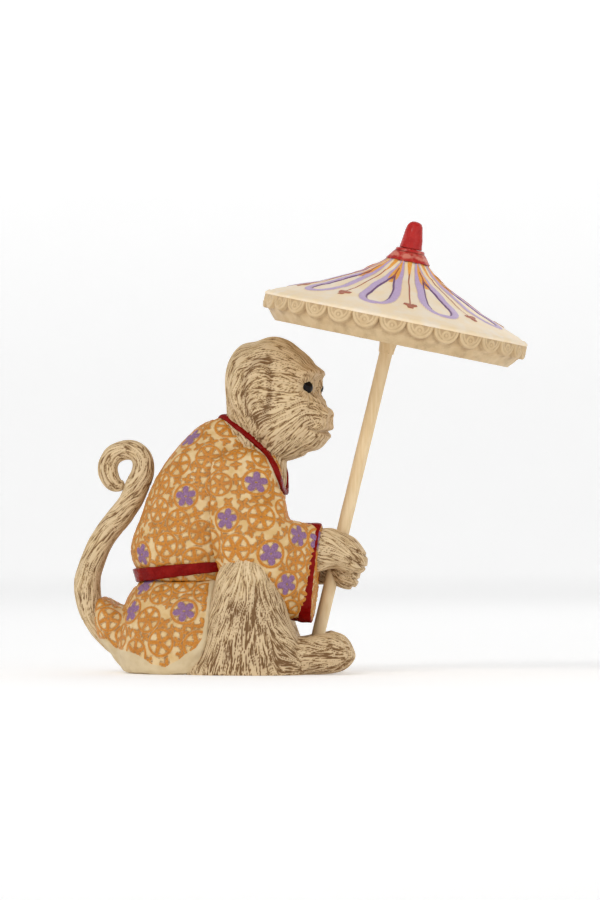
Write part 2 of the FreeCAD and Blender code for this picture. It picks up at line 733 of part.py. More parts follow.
def make_valance():
    """Two-stepped band under the canopy's edge, with a ring of scallops."""
    body = doc.addObject("PartDesign::Body", "valance_body")
    radius = "sizes.canopy_diameter / 2"
    top = "-sizes.rim_thickness"
    step = "-(sizes.rim_thickness + sizes.band_height)"
    bottom = "-(sizes.rim_thickness + sizes.skirt_drop)"
    waist = radius + " - sizes.band_step"
    hem = waist + " - sizes.skirt_taper"
    turned(body, "valance_band", [
        (waist + " - sizes.valance_wall", top), (radius + " - sizes.scallop_relief", top),
        (radius + " - sizes.scallop_relief", step + " + sizes.rim_thickness"),
        (waist, step), (hem, bottom), (hem + " - sizes.valance_wall", bottom)])
    sketch = new_sketch(body, "scallop_outline", "YZ_Plane")
    scallop_profile(sketch)
    sketch.setExpression("AttachmentOffset.Base.z", radius)
    scallop = pad(body, "scallop", sketch, "sizes.valance_wall", True)
    doc.recompute()
    ring = body.newObject("PartDesign::PolarPattern", "scallops")
    ring.Originals = [scallop]
    ring.Axis = (origin_feature(body, "Z_Axis"), [""])
    ring.Angle = 360
    ring.setExpression("Occurrences", "sizes.scallop_count")
    body.Tip = ring
    body.Placement = canopy_placement()
    return body


def scallop_profile(sketch):
    """Half round that hangs from the canopy's edge."""
    half = "sizes.scallop_height"
    top = "-sizes.rim_thickness"
    level = float(sheet.evalExpression(top))
    reach = float(sheet.evalExpression(half))
    middle = FreeCAD.Vector(0, level, 0)
    circle = Part.Circle(middle, FreeCAD.Vector(0, 0, 1), reach)
    sketch.addGeometry(Part.ArcOfCircle(circle, math.pi, 2 * math.pi))
    sketch.addGeometry(Part.LineSegment(middle + FreeCAD.Vector(reach, 0, 0),
                                        middle - FreeCAD.Vector(reach, 0, 0)))
    sketch.addConstraint(Sketcher.Constraint("Coincident", 0, 2, 1, 1))
    sketch.addConstraint(Sketcher.Constraint("Coincident", 1, 2, 0, 1))
    sketch.addConstraint(Sketcher.Constraint("Horizontal", 1))
    sketch.addConstraint(Sketcher.Constraint("PointOnObject", 0, 3, 1))
    hold(sketch, 0, 3, "0", top)
    index = sketch.addConstraint(Sketcher.Constraint("Radius", 0, reach))
    sketch.setExpression("Constraints[%d]" % index, half)


def make_cap():
    """Red cap whose skirt lies on the slope under the crown."""
    body = doc.addObject("PartDesign::Body", "cap_body")
    crown = "sizes.crown_diameter / 2"
    rise = "sizes.crown_height"
    reach = "sizes.cap_diameter / 2"
    across, up = CANOPY_SHARES[-1]
    slope = "%s * %s / (sizes.canopy_diameter / 2 * %s - %s)" % (rise, 1 - up, across, crown)
    low = "%s - (%s - %s) * %s" % (rise, reach, crown, slope)
    turned(body, "cap_turned", [
        ("0", rise), (crown, rise), (reach, low), (reach, low + " + sizes.cap_edge"),
        ("sizes.cap_neck / 2", "%s + sizes.cap_height * %s" % (rise, CAP_SHOULDER_SHARE)),
        ("sizes.cap_neck / 2", rise + " + sizes.cap_height"), ("0", rise + " + sizes.cap_height")])
    body.Placement = canopy_placement()
    return body


def make_finial():
    body = doc.addObject("PartDesign::Body", "finial_body")
    foot = "sizes.crown_height + sizes.cap_height"
    knob = turned(body, "knob", [
        ("0", foot), ("sizes.finial_diameter / 2", foot),
        ("sizes.finial_tip / 2", foot + " + sizes.finial_height"),
        ("0", foot + " + sizes.finial_height")])
    top = size("crown_height") + size("cap_height") + size("finial_height")
    rounded(body, "tip", knob, "sizes.finial_tip * %s" % TIP_ROUNDING_SHARE,
            lambda edge: is_circle_at(edge, size("finial_tip") * 0.5, top))
    body.Placement = canopy_placement()
    return body


def tie_tongue():
    """The tongue reaches to the pole where it enters the boss."""
    row = len(SIZES) + 1
    middle = pole_foot() + pole_axis() * ((size("boss_height") - size("socket_floor")) * 0.5)
    sheet.set("A%d" % row, "middle of the boss, forward of the origin")
    sheet.set("B%d" % row, "%.3f" % middle.x)
    sheet.setAlias("B%d" % row, "tongue_reach")
    doc.recompute()


def build_monkey():
    """Castings, each cut back to the ones that it lies against."""
    legs = [leg_shape(-1, 0.0), leg_shape(1, size("left_leg_back"))]
    upper = carved(upper_robe(), legs)
    tail = carved(tail_blank(), [upper])
    skirt = carved(lower_robe(), legs + [tail])
    sash = carved(sash_blank(), legs + [upper, skirt])
    eyes = [make_eye("right_eye", -1), make_eye("left_eye", 1)]
    seat = make_seat()
    socket = bore("socket", "slide_clearance", -size("seat_gap"), size("pole_length"))
    doc.recompute()
    head = carved(head_blank(), [eye.Shape for eye in eyes])
    collar = carved(collar_blank(), [head])
    casting("robe_top", upper)
    casting("robe_skirt", skirt)
    casting("sash", sash)
    casting("right_leg", whole(legs[0]))
    casting("left_leg", whole(legs[1]))
    casting("tail", tail)
    casting("head", head)
    casting("collar_band", collar)
    casting("seat_base", carved(seat.Shape, legs + [tail, socket.Shape]))
    return [head, collar] + legs + [upper, skirt, sash]


def build_arms(body):
    """Sleeves, cuffs and hands, cut back to the body and to each other."""
    grip = bore("grip", "slide_clearance", 0.0, size("pole_length"))
    doc.recompute()
    hands = []
    for side, name, behind, shares in ((-1, "right", 0.0, RIGHT_HAND_SHARES),
                                       (1, "left", size("left_sleeve_back"), LEFT_HAND_SHARES)):
        blank = sleeve_blank(side, behind)
        cuff = carved(cuff_blank(side, behind), body + [blank])
        casting(name + "_sleeve", carved(blank, body))
        casting(name + "_cuff_band", cuff)
        hands.append(carved(hand_blank(side, shares), [blank, cuff, grip.Shape]))
    casting("right_hand", hands[0])
    casting("left_hand", carved(hands[1], [hands[0]]))


def build_parasol():
    keep("pole", make_pole())
    keep("ferrule", make_ferrule())
    hub_bore = bore("hub_bore", "turn_clearance", ferrule_top() - size("overrun"),
                    size("pole_length") + size("seat_gap"))
    canopy = doc.addObject("Part::Cut", "canopy_top")
    canopy.Base = make_canopy()
    canopy.Tool = hub_bore
    keep("canopy_top", canopy)
    keep("valance", make_valance())
    keep("finial_cap", make_cap())
    keep("finial", make_finial())


def check_model():
    for feature in doc.Objects:
        if "Invalid" in feature.State or "Error" in feature.State:
            raise RuntimeError("%s failed: %s" % (feature.Label, feature.State))
    for name, feature in nodes.items():
        shape = feature.Shape
        if shape.isNull() or not shape.isValid() or not shape.Solids:
            raise RuntimeError(name + " is not a valid solid")


def write_parts():
    os.makedirs("parts", exist_ok=True)
    for name, feature in nodes.items():
        shape = feature.Shape
        shape.exportStep("parts/%s.step" % name)
        box = shape.BoundBox
        print("%-16s solids %d volume %9.1f  x %.1f..%.1f y %.1f..%.1f z %.1f..%.1f"
              % (name, len(shape.Solids), shape.Volume, box.XMin, box.XMax,
                 box.YMin, box.YMax, box.ZMin, box.ZMax))


tie_tongue()
build_arms(build_monkey())
build_parasol()
doc.recompute()
check_model()
write_parts()
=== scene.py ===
import contextlib
import functools
import json
import math

import bmesh
import bpy
import numpy as np
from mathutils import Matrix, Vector
from mathutils.bvhtree import BVHTree
from mathutils.kdtree import KDTree


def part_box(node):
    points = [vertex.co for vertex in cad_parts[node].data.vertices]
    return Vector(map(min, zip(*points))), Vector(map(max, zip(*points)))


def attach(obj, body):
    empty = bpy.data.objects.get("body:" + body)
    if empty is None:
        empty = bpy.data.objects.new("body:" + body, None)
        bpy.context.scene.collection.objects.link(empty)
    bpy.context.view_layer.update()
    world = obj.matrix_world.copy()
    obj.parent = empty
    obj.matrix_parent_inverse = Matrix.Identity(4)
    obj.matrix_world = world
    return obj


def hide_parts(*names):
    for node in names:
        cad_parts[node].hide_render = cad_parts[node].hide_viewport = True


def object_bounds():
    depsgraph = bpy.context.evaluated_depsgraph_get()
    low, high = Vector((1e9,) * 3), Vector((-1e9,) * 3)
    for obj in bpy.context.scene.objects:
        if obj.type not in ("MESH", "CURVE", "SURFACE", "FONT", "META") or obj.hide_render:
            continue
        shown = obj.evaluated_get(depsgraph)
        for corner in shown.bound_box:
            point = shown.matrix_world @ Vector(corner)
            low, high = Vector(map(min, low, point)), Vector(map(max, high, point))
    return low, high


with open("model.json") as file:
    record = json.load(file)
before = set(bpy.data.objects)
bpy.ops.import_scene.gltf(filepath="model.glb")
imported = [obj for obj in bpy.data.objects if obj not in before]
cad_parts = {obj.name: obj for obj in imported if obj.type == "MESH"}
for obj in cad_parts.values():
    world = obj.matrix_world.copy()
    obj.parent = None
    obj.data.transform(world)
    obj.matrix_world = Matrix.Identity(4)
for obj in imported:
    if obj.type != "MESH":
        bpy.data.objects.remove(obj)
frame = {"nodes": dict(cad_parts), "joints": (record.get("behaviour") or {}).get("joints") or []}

bl_info = {
    "name": "Monkey with Parasol",
    "version": (1, 0, 0),
    "blender": (4, 5, 0),
    "location": "View3D > Sidebar > Figurine",
    "description": "Finishes a cast and hand-painted monkey figurine around its packed frame",
    "category": "Object",
}

MM = 0.001
CAD_BOX = [list(corner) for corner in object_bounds()]
JOINTS = {joint["name"]: joint for joint in frame["joints"]}
# the photograph's camera stands this far round from square on
VIEW_DEGREES = 8
# light that comes from all round, and the sweep's own
ROOM_LIGHT = 0.47


def box_mm(node):
    """Lowest and highest corner of a node, in millimetres."""
    low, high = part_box(node)
    return np.array(low) / MM, np.array(high) / MM


# sizes and colours that a user would change

def length_setting(name, description, default):
    """A size in metres."""
    return bpy.props.FloatProperty(name=name, description=description, default=default, subtype="DISTANCE")


def angle_setting(name, description, degrees):
    """An angle, given in degrees."""
    return bpy.props.FloatProperty(
        name=name, description=description, default=math.radians(degrees), subtype="ANGLE")


def paint_setting(name, description, default):
    """A colour of paint."""
    return bpy.props.FloatVectorProperty(name=name, description=description, default=default, subtype="COLOR")


class FigurineCasting(bpy.types.PropertyGroup):
    """How the castings are textured."""

    fur_depth: length_setting("Fur depth", "Depth of the combed grooves", 0.46 * MM)
    swell: length_setting("Swell", "What a casting gains back after it is smoothed", 0.18 * MM)
    relief: length_setting("Pattern relief", "How far the rosettes stand out", 0.44 * MM)
    rosette: length_setting("Rosette", "Outer radius of a large rosette", 7.3 * MM)


class FigurineCanopy(bpy.types.PropertyGroup):
    """How the parasol is moulded."""

    petals: bpy.props.IntProperty(name="Petals", description="Large petals round the crown", default=9)
    petal_turn: angle_setting("Petal turn", "Azimuth of the first petal", -14.5)
    scallops: bpy.props.IntProperty(name="Scallops", description="Half rounds on the valance", default=30)
    scallop_radius: length_setting("Scallop radius", "Radius of a half round", 6.5 * MM)


class FigurineColours(bpy.types.PropertyGroup):
    """Paints and washes."""

    fur: paint_setting("Fur", "Cream paint of the fur", (0.60, 0.43, 0.22))
    # this brown paints both the wash in the fur and the painted shade that the wash mask carries
    fur_wash_and_shade: paint_setting("Fur wash", "Brown wash in the fur", (0.17, 0.085, 0.032))
    ochre: paint_setting("Ochre", "Rosettes of the robe", (0.52, 0.185, 0.014))
    robe: paint_setting("Robe", "Ground colour of the robe", (0.74, 0.56, 0.31))
    violet: paint_setting("Violet", "Violet flowers", (0.22, 0.105, 0.21))
    red: paint_setting("Red", "Enamel of the trims", (0.18, 0.002, 0.0015))
    cream: paint_setting("Cream", "Paint of the canopy", (0.88, 0.70, 0.45))
    lilac: paint_setting("Lilac", "Petals of the canopy", (0.48, 0.35, 0.56))
    beige: paint_setting("Beige", "Valance", (0.67, 0.50, 0.29))


class FigurineView(bpy.types.PropertyGroup):
    """Where the camera stands."""

    azimuth: angle_setting("Azimuth", "Turn of the camera about the figurine", VIEW_DEGREES)
    distance: length_setting("Distance", "Camera to figurine", 3.0)
    height: length_setting("Height", "Camera over the floor", 0.085)
    lift: length_setting("Lift", "How far over the middle of the picture the figurine sits", 1.3 * MM)
    field: length_setting("Field", "Height of the picture at the figurine", 0.432)


# shader maths

class Amount:
    """A number in a material, so that maths on it reads as maths."""

    def __init__(self, look, socket):
        self.look = look
        self.socket = socket

    def __add__(self, other):
        return self.look.maths("ADD", self, other)

    def __sub__(self, other):
        return self.look.maths("SUBTRACT", self, other)

    def __rsub__(self, other):
        return self.look.maths("SUBTRACT", other, self)

    def __mul__(self, other):
        return self.look.maths("MULTIPLY", self, other)

    __radd__ = __add__
    __rmul__ = __mul__

    def limited(self):
        """The number kept between 0 and 1."""
        return self.look.maths("ADD", self, 0.0, use_clamp=True)


class Look:
    """A material and the few ways in which its nodes are added."""

    def __init__(self, name, roughness=0.5, coat=0.0, coat_roughness=0.2, specular=0.5):
        self.material = bpy.data.materials.new(name)
        self.material.use_nodes = True
        self.tree = self.material.node_tree
        self.shader = self.tree.nodes["Principled BSDF"]
        self.shader.inputs["Roughness"].default_value = roughness
        self.shader.inputs["Coat Weight"].default_value = coat
        self.shader.inputs["Coat Roughness"].default_value = coat_roughness
        self.shader.inputs["Specular IOR Level"].default_value = specular

    def node(self, kind, settings=None, values=None):
        """Any node: its settings first, then the values or links of its sockets."""
        node = self.tree.nodes.new(kind)
        for name, value in (settings or {}).items():
            setattr(node, name, value)
        for name, value in (values or {}).items():
            self.feed(node.inputs[name], value)
        return node

    def feed(self, socket, value):
        """Link or set the value of a socket."""
        if isinstance(value, Amount):
            value = value.socket
        if isinstance(value, bpy.types.NodeSocket):
            self.tree.links.new(value, socket)
        elif socket.type == "RGBA" and len(value) == 3:
            socket.default_value = (*value, 1.0)
        else:
            socket.default_value = value

    def maths(self, operation, first, second, use_clamp=False):
        node = self.node("ShaderNodeMath", {"operation": operation, "use_clamp": use_clamp},
                         {0: first, 1: second})
        return Amount(self, node.outputs[0])

    def step(self, value, low, high):
        """0 below low, 1 above high, smooth between them."""
        node = self.node("ShaderNodeMapRange", {"interpolation_type": "SMOOTHSTEP"},
                         {"Value": value, "From Min": low, "From Max": high})
        return Amount(self, node.outputs["Result"])

    def mask(self, name):
        """Numbers that the mesh carries for the paint."""
        node = self.node("ShaderNodeAttribute", {"attribute_name": name})
        return Amount(self, node.outputs["Fac"])

    def place(self, stretch=(1.0, 1.0, 1.0)):
        """Object coordinates, stretched."""
        coordinates = self.node("ShaderNodeTexCoord").outputs["Object"]
        return self.node("ShaderNodeMapping", None,
                         {"Vector": coordinates, "Scale": stretch}).outputs["Vector"]

    def noise(self, spacing, detail=3.0, stretch=(1.0, 1.0, 1.0)):
        """Noise whose patches are about spacing metres across."""
        node = self.node("ShaderNodeTexNoise", None, {
            "Vector": self.place(stretch), "Scale": 1.0 / spacing, "Detail": detail})
        return Amount(self, node.outputs["Fac"])

    def mix(self, share, first, second):
        """The first colour, with that share of the second over it."""
        node = self.node("ShaderNodeMix", {"data_type": "RGBA"},
                         {"Factor": share, 6: first, 7: second})
        return node.outputs[2]

    def glaze(self, colour, paint, amount, low, high, share=1.0):
        """A colour under a paint that covers up to that share of it, as the amount goes from low to high."""
        cover = self.step(amount, low, high)
        return self.mix(cover * share if share < 1.0 else cover, colour, paint)

    def finish(self, colour, roughness=None, height=None, depth=0.2 * MM, strength=0.5):
        """Connect the colour, and roughness and bump where given."""
        self.feed(self.shader.inputs["Base Color"], colour)
        if roughness is not None:
            self.feed(self.shader.inputs["Roughness"], roughness)
        if height is not None:
            bump = self.node("ShaderNodeBump", None,
                             {"Strength": strength, "Distance": depth, "Height": height})
            self.feed(self.shader.inputs["Normal"], bump.outputs["Normal"])
        return self.material


LOOKS = {}


def finish_of(name):
    """The material of that name, made the first time that it is wanted."""
    if name not in LOOKS:
        LOOKS[name] = PAINTS[name](bpy.context.scene.figurine_colours)
    return LOOKS[name]


def fur_paint(colours):
    """Cream paint under a brown wash that stays in the combed grooves, with painted shade where the wash mask
    carries it and a painted highlight on the ridges.
    """
    look = Look("cream_fur", roughness=0.6, specular=0.3)
    groove = look.mask("groove")
    wash = look.mask("wash")
    rosy = look.mask("rosy")
    cloud = look.noise(9 * MM, 4.0)
    speck = look.noise(0.9 * MM, 3.0)
    # deep: the wash in the grooves, and the painted shade round the ears that the wash mask carries
    deep = look.step(groove * -1.0 + (speck - 0.5) * 0.3 + (wash - 0.35) * 1.2, -0.65, 0.65)
    cream = look.glaze(colours.fur, (0.72, 0.535, 0.30), cloud, 0.35, 0.7)
    tan = look.mix((wash * 0.85 + (cloud - 0.5) * 0.4).limited(), cream, (0.38, 0.235, 0.105))
    toned = look.mix(look.mask("strand") * 0.5, tan, (0.36, 0.21, 0.095))
    warm = look.mix((rosy * 0.55).limited(), toned, (0.42, 0.235, 0.11))
    # painted highlight: a paler cream on the ridges between the combed grooves
    painted_ridge_highlight = look.glaze(warm, (0.88, 0.72, 0.48), groove, 0.45, 1.0, 0.4)
    colour = look.mix(deep * 0.94, painted_ridge_highlight, colours.fur_wash_and_shade)
    return look.finish(colour, 0.74 - look.step(groove, 0.0, 1.0) * 0.2, speck, 0.15 * MM, 0.35)


def robe_paint(colours):
    """Ochre rosettes and violet flowers over a cream ground, with a brown wash round them."""
    look = Look("painted_robe", roughness=0.5, specular=0.35)
    ochre = look.mask("ochre")
    violet = look.mask("violet")
    border = look.mask("border")
    cavity = look.mask("cavity")
    cloud = look.noise(6 * MM, 3.0)
    speck = look.noise(0.8 * MM, 3.0)
    wobble = (speck - 0.5) * 0.25
    ground = look.glaze(colours.robe, (0.64, 0.42, 0.17), cloud, 0.3, 0.7)
    ground = look.glaze(ground, (0.28, 0.12, 0.025), cavity + (speck - 0.5) * 0.7, 0.45, 1.2, 0.85)
    gold = look.glaze(colours.ochre, (0.76, 0.38, 0.06), speck, 0.42, 0.72, 0.5)
    gold = look.glaze(gold, (0.34, 0.105, 0.009), cloud, 0.42, 0.72, 0.35)
    gold = look.glaze(gold, (0.20, 0.055, 0.007), cavity + (speck - 0.5) * 0.8, 0.5, 1.3, 0.6)
    petals = look.glaze(colours.violet, (0.36, 0.21, 0.40), speck, 0.4, 0.7, 0.55)
    painted = look.glaze(ground, gold, ochre + wobble, 0.36, 0.6)
    painted = look.glaze(painted, petals, violet + wobble, 0.4, 0.6)
    edge = look.glaze((0.66, 0.53, 0.33), (0.50, 0.36, 0.18), cloud, 0.35, 0.65, 0.4)
    colour = look.glaze(painted, edge, border + wobble * 0.6, 0.35, 0.65)
    return look.finish(colour, 0.62 - look.step(ochre, 0.4, 0.7) * 0.2, speck, 0.12 * MM, 0.35)


def red_paint(colours):
    """Dark red enamel, thick and glossy, a little brighter where it is thin."""
    look = Look("red_enamel", roughness=0.3, coat=0.05, coat_roughness=0.1, specular=0.05)
    cloud = look.noise(4 * MM, 3.0)
    speck = look.noise(1.1 * MM, 2.0)
    worn = look.mask("worn")
    colour = look.glaze(colours.red, (0.30, 0.012, 0.008), cloud, 0.35, 0.75, 0.6)
    colour = look.glaze(colour, (0.42, 0.10, 0.05), worn + (speck - 0.5) * 0.8, 0.85, 1.15, 0.5)
    return look.finish(colour, look.step(speck, 0.2, 0.9) * 0.18 + 0.18, cloud, 0.3 * MM, 0.3)


def finial_paint(colours):
    """Bright red enamel of the finial and its cap."""
    look = Look("bright_red_enamel", roughness=0.3, coat=0.2, coat_roughness=0.06, specular=0.1)
    cloud = look.noise(3.5 * MM, 3.0)
    speck = look.noise(0.9 * MM, 2.0)
    worn = look.mask("worn")
    colour = look.glaze((0.46, 0.020, 0.016), (0.33, 0.008, 0.008), cloud, 0.35, 0.75, 0.6)
    colour = look.glaze(colour, (0.66, 0.24, 0.17), worn + (speck - 0.5) * 0.5, 0.35, 0.95, 0.8)
    colour = look.glaze(colour, (0.16, 0.02, 0.01), look.mask("cavity") + (speck - 0.5) * 0.6, 0.4, 1.0, 0.75)
    return look.finish(colour, look.step(speck, 0.2, 0.9) * 0.2 + 0.16, cloud, 0.3 * MM, 0.3)


def eye_paint(colours):
    """Wet black with the faintest brown in it."""
    look = Look("black_eye", roughness=0.1, coat=0.0, coat_roughness=0.03, specular=0.16)
    cloud = look.noise(1.6 * MM, 2.0)
    colour = look.glaze((0.003, 0.002, 0.002), (0.012, 0.006, 0.004), cloud, 0.4, 0.8, 0.5)
    return look.finish(colour, look.step(cloud, 0.3, 0.8) * 0.08 + 0.04)


def pole_paint(colours):
    """Cream paint brushed along a rod, with a tan glaze and a few chips."""
    look = Look("cream_rod", roughness=0.42, specular=0.4)
    streak = look.noise(1.5 * MM, 3.0, (1.0, 1.0, 0.07))
    cloud = look.noise(14 * MM, 2.0)
    speck = look.noise(0.7 * MM, 2.0)
    worn = look.mask("worn")
    colour = look.glaze((0.78, 0.60, 0.36), (0.66, 0.46, 0.23), streak, 0.35, 0.7, 0.6)
    colour = look.glaze(colour, (0.86, 0.70, 0.46), cloud, 0.45, 0.75, 0.35)
    colour = look.glaze(colour, (0.10, 0.05, 0.03), worn + (speck - 0.5) * 1.6, 0.95, 1.05, 0.85)
    return look.finish(colour, look.step(streak, 0.2, 0.8) * 0.2 + 0.34, streak, 0.12 * MM, 0.4)


def canopy_paint(colours):
    """Lilac petals, orange hearts and red-brown stamens over cream."""
    look = Look("painted_canopy", roughness=0.45, specular=0.4)
    speck = look.noise(0.8 * MM, 3.0)
    cloud = look.noise(8 * MM, 3.0)
    wobble = (speck - 0.5) * 0.22
    colour = look.glaze(colours.cream, (0.88, 0.76, 0.60), cloud, 0.35, 0.7)
    colour = look.glaze(colour, (0.50, 0.30, 0.16), look.mask("cavity") + wobble, 0.35, 1.1, 0.6)
    for name, paint, glaze in (("lilac", colours.lilac, (0.60, 0.44, 0.66)),
                               ("line", (0.16, 0.075, 0.20), (0.24, 0.13, 0.27)),
                               ("orange", (0.80, 0.33, 0.045), (0.88, 0.50, 0.14)),
                               ("brown", (0.38, 0.085, 0.03), (0.50, 0.16, 0.06))):
        paint = look.glaze(paint, glaze, speck, 0.4, 0.7, 0.6)
        colour = look.glaze(colour, paint, look.mask(name) + wobble, 0.4, 0.6)
    return look.finish(colour, look.step(cloud, 0.3, 0.8) * 0.15 + 0.4, speck, 0.1 * MM, 0.35)


def valance_paint(colours):
    """Beige paint with a brown wash in the hollows, painted shade under the scallops, and a few dark chips.
    """
    look = Look("beige_valance", roughness=0.5, specular=0.35)
    cloud = look.noise(7 * MM, 3.0)
    speck = look.noise(0.9 * MM, 3.0)
    cavity = look.mask("cavity")
    worn = look.mask("worn")
    colour = look.glaze(colours.beige, (0.60, 0.43, 0.235), cloud, 0.3, 0.7)
    colour = look.glaze(colour, (0.30, 0.17, 0.075), cavity + (speck - 0.5) * 0.5, 0.2, 1.0, 0.65)
    colour = look.glaze(colour, (0.10, 0.05, 0.03), worn + (speck - 0.5) * 1.8, 1.08, 1.16, 0.8)
    return look.finish(colour, look.step(cloud, 0.3, 0.8) * 0.15 + 0.45, speck, 0.12 * MM, 0.35)


def underside_paint(colours):
    """Worn cream of the seat."""
    look = Look("worn_cream", roughness=0.7, specular=0.25)
    cloud = look.noise(7 * MM, 4.0)
    speck = look.noise(0.8 * MM, 3.0)
    colour = look.glaze((0.62, 0.49, 0.30), (0.50, 0.36, 0.19), cloud, 0.3, 0.7)
    colour = look.glaze(colour, (0.34, 0.21, 0.10), speck, 0.6, 0.8, 0.3)
    return look.finish(colour, look.step(cloud, 0.2, 0.9) * 0.2 + 0.6, speck, 0.2 * MM, 0.5)


def paper_paint(colours):
    """Pale sweep that the figurine stands on."""
    look = Look("pale_sweep", roughness=0.9, specular=0.1)
    height = look.node("ShaderNodeSeparateXYZ", None, {0: look.place()}).outputs["Z"]
    wall = look.step(height, 0.1, 1.2)
    look.feed(look.shader.inputs["Emission Color"], look.mix(wall, (0.45, 0.45, 0.45), (1.0, 1.0, 1.0)))
    look.shader.inputs["Emission Strength"].default_value = ROOM_LIGHT
    cloud = look.noise(0.4, 2.0)
    return look.finish(look.mix(cloud, (0.93, 0.93, 0.93), (0.95, 0.95, 0.95)))


PAINTS = {"fur": fur_paint, "robe": robe_paint, "red": red_paint, "finial": finial_paint, "eye": eye_paint,
          "pole": pole_paint, "canopy": canopy_paint, "valance": valance_paint,
          "underside": underside_paint, "paper": paper_paint}


# castings as arrays of points

# spacing of the points on each casting in millimetres, wide enough to keep a piece under 200,000 triangles
SPACINGS = {
    "robe_top": 0.50, "robe_skirt": 0.52, "right_sleeve": 0.44, "left_sleeve": 0.44, "sash": 0.36,
    "right_cuff_band": 0.36, "left_cuff_band": 0.36, "head": 0.41, "right_eye": 0.22, "left_eye": 0.22,
    "right_leg": 0.41, "left_leg": 0.41, "right_hand": 0.33, "left_hand": 0.33, "tail": 0.36,
    "seat_base": 0.7,
}
# share of its own place that a point keeps in one round of smoothing
KEPT_SHARE = 0.4
SHARP_EDGE = math.radians(50)
NOISE_GAIN = 1.6
# stands for a distance that isn't known yet
UNMET = 1e9


def write_masks(mesh, masks):
    """Numbers for the paint on the points of a mesh."""
    for name, values in masks.items():
        attribute = mesh.attributes.new(name, "FLOAT", "POINT")
        attribute.data.foreach_set("value", np.asarray(values, dtype=np.float32))


def shade_smooth(mesh):
    """Shade every face smooth."""
    mesh.polygons.foreach_set("use_smooth", [True] * len(mesh.polygons))


@contextlib.contextmanager
def edited(mesh):
    """The mesh, open to bmesh operations and written back after them."""
    edit = bmesh.new()
    edit.from_mesh(mesh)
    yield edit
    edit.to_mesh(mesh)
    edit.free()


class Casting:
    """A closed quad mesh as arrays in millimetres, so that its points move in bulk."""

    def __init__(self, mesh):
        self.mesh = mesh
        count = len(mesh.vertices)
        flat = np.empty(count * 3)
        mesh.vertices.foreach_get("co", flat)
        self.points = flat.reshape(-1, 3) / MM
        corners = np.empty(len(mesh.loops), dtype=np.int64)
        mesh.loops.foreach_get("vertex_index", corners)
        quads = corners.reshape(-1, 4)
        self.quads = quads
        pairs = [quads[:, [a, b]] for a, b in ((0, 1), (1, 2), (2, 3), (3, 0), (0, 2), (1, 3))]
        pairs = np.concatenate(pairs)
        self.here = np.concatenate([pairs[:, 0], pairs[:, 1]])
        self.there = np.concatenate([pairs[:, 1], pairs[:, 0]])
        self.links = np.bincount(self.here, minlength=count)
        self.masks = {}

    def calm(self, values, times):
        """Values averaged with those of the neighbours, some times over."""
        for _ in range(times):
            around = np.bincount(self.here, values[self.there], minlength=len(self.points))
            values = KEPT_SHARE * values + (1 - KEPT_SHARE) * around / self.links
        return values

    def smooth(self, times):
        """Even the points out with their neighbours."""
        for axis in range(3):
            self.points[:, axis] = self.calm(self.points[:, axis], times)

    def normals(self):
        """Outward direction at every point."""
        corner = self.points[self.quads]
        face = np.cross(corner[:, 2] - corner[:, 0], corner[:, 3] - corner[:, 1])
        total = np.zeros_like(self.points)
        for index in range(4):
            for axis in range(3):
                total[:, axis] += np.bincount(self.quads[:, index], face[:, axis],
                                              minlength=len(self.points))
        return total / np.maximum(np.linalg.norm(total, axis=1, keepdims=True), 1e-9)

    def beside(self):
        """Each point and its neighbours, as rows of one width."""
        count = len(self.points)
        pairs = np.unique(self.here * count + self.there)
        here, there = pairs // count, pairs % count
        begun = np.searchsorted(here, np.arange(count))
        rank = np.arange(len(here)) - begun[here]
        table = np.repeat(np.arange(count)[:, None], rank.max() + 2, axis=1)
        table[here, rank + 1] = there
        return table

    def raise_by(self, height):
        """Move every point out along its normal, by a distance of its own."""
        self.points += self.normals() * np.asarray(height).reshape(-1, 1)

    def store(self):
        """Write the points and masks back to the mesh."""
        self.mesh.vertices.foreach_set("co", (self.points * MM).ravel())
        write_masks(self.mesh, self.masks)
        shade_smooth(self.mesh)
        self.mesh.update()


def merged_copy(node):
    """A node's mesh with its loose triangles joined."""
    mesh = frame["nodes"][node].data.copy()
    with edited(mesh) as edit:
        bmesh.ops.remove_doubles(edit, verts=edit.verts, dist=0.002 * MM)
    mesh.materials.clear()
    return mesh


def recast(node, smoothing, swell=None):
    """A casting with even quads, soft edges and the node's own volume."""
    if swell is None:
        swell = bpy.context.scene.figurine_casting.swell
    helper = bpy.data.objects.new("helper", merged_copy(node))
    bpy.context.scene.collection.objects.link(helper)
    remesh = helper.modifiers.new("even", "REMESH")
    remesh.mode = "VOXEL"
    remesh.voxel_size = SPACINGS[node] * MM
    evaluated = helper.evaluated_get(bpy.context.evaluated_depsgraph_get())
    mesh = bpy.data.meshes.new_from_object(evaluated)
    bpy.data.objects.remove(helper)
    casting = Casting(mesh)
    casting.smooth(smoothing)
    casting.raise_by(np.full(len(casting.points), swell / MM))
    return casting


def noise_at(points, spacing, seed):
    """Smooth noise from -1 to 1 with patches of about that spacing."""
    table = np.random.default_rng(seed)
    order = table.permutation(256)
    slopes = table.normal(size=(256, 3))
    slopes /= np.linalg.norm(slopes, axis=1, keepdims=True)
    place = points / spacing
    cell = np.floor(place).astype(int)
    inside = place - cell
    ease = inside ** 3 * (inside * (inside * 6 - 15) + 10)
    total = np.zeros(len(points))
    for dx in (0, 1):
        for dy in (0, 1):
            for dz in (0, 1):
                key = order[(order[(order[(cell[:, 0] + dx) % 256] + cell[:, 1] + dy) % 256]
                             + cell[:, 2] + dz) % 256]
                away = inside - (dx, dy, dz)
                share = (np.abs(1 - dx - ease[:, 0]) * np.abs(1 - dy - ease[:, 1])
                         * np.abs(1 - dz - ease[:, 2]))
                total += share * np.einsum("ij,ij->i", slopes[key], away)
    return total * NOISE_GAIN


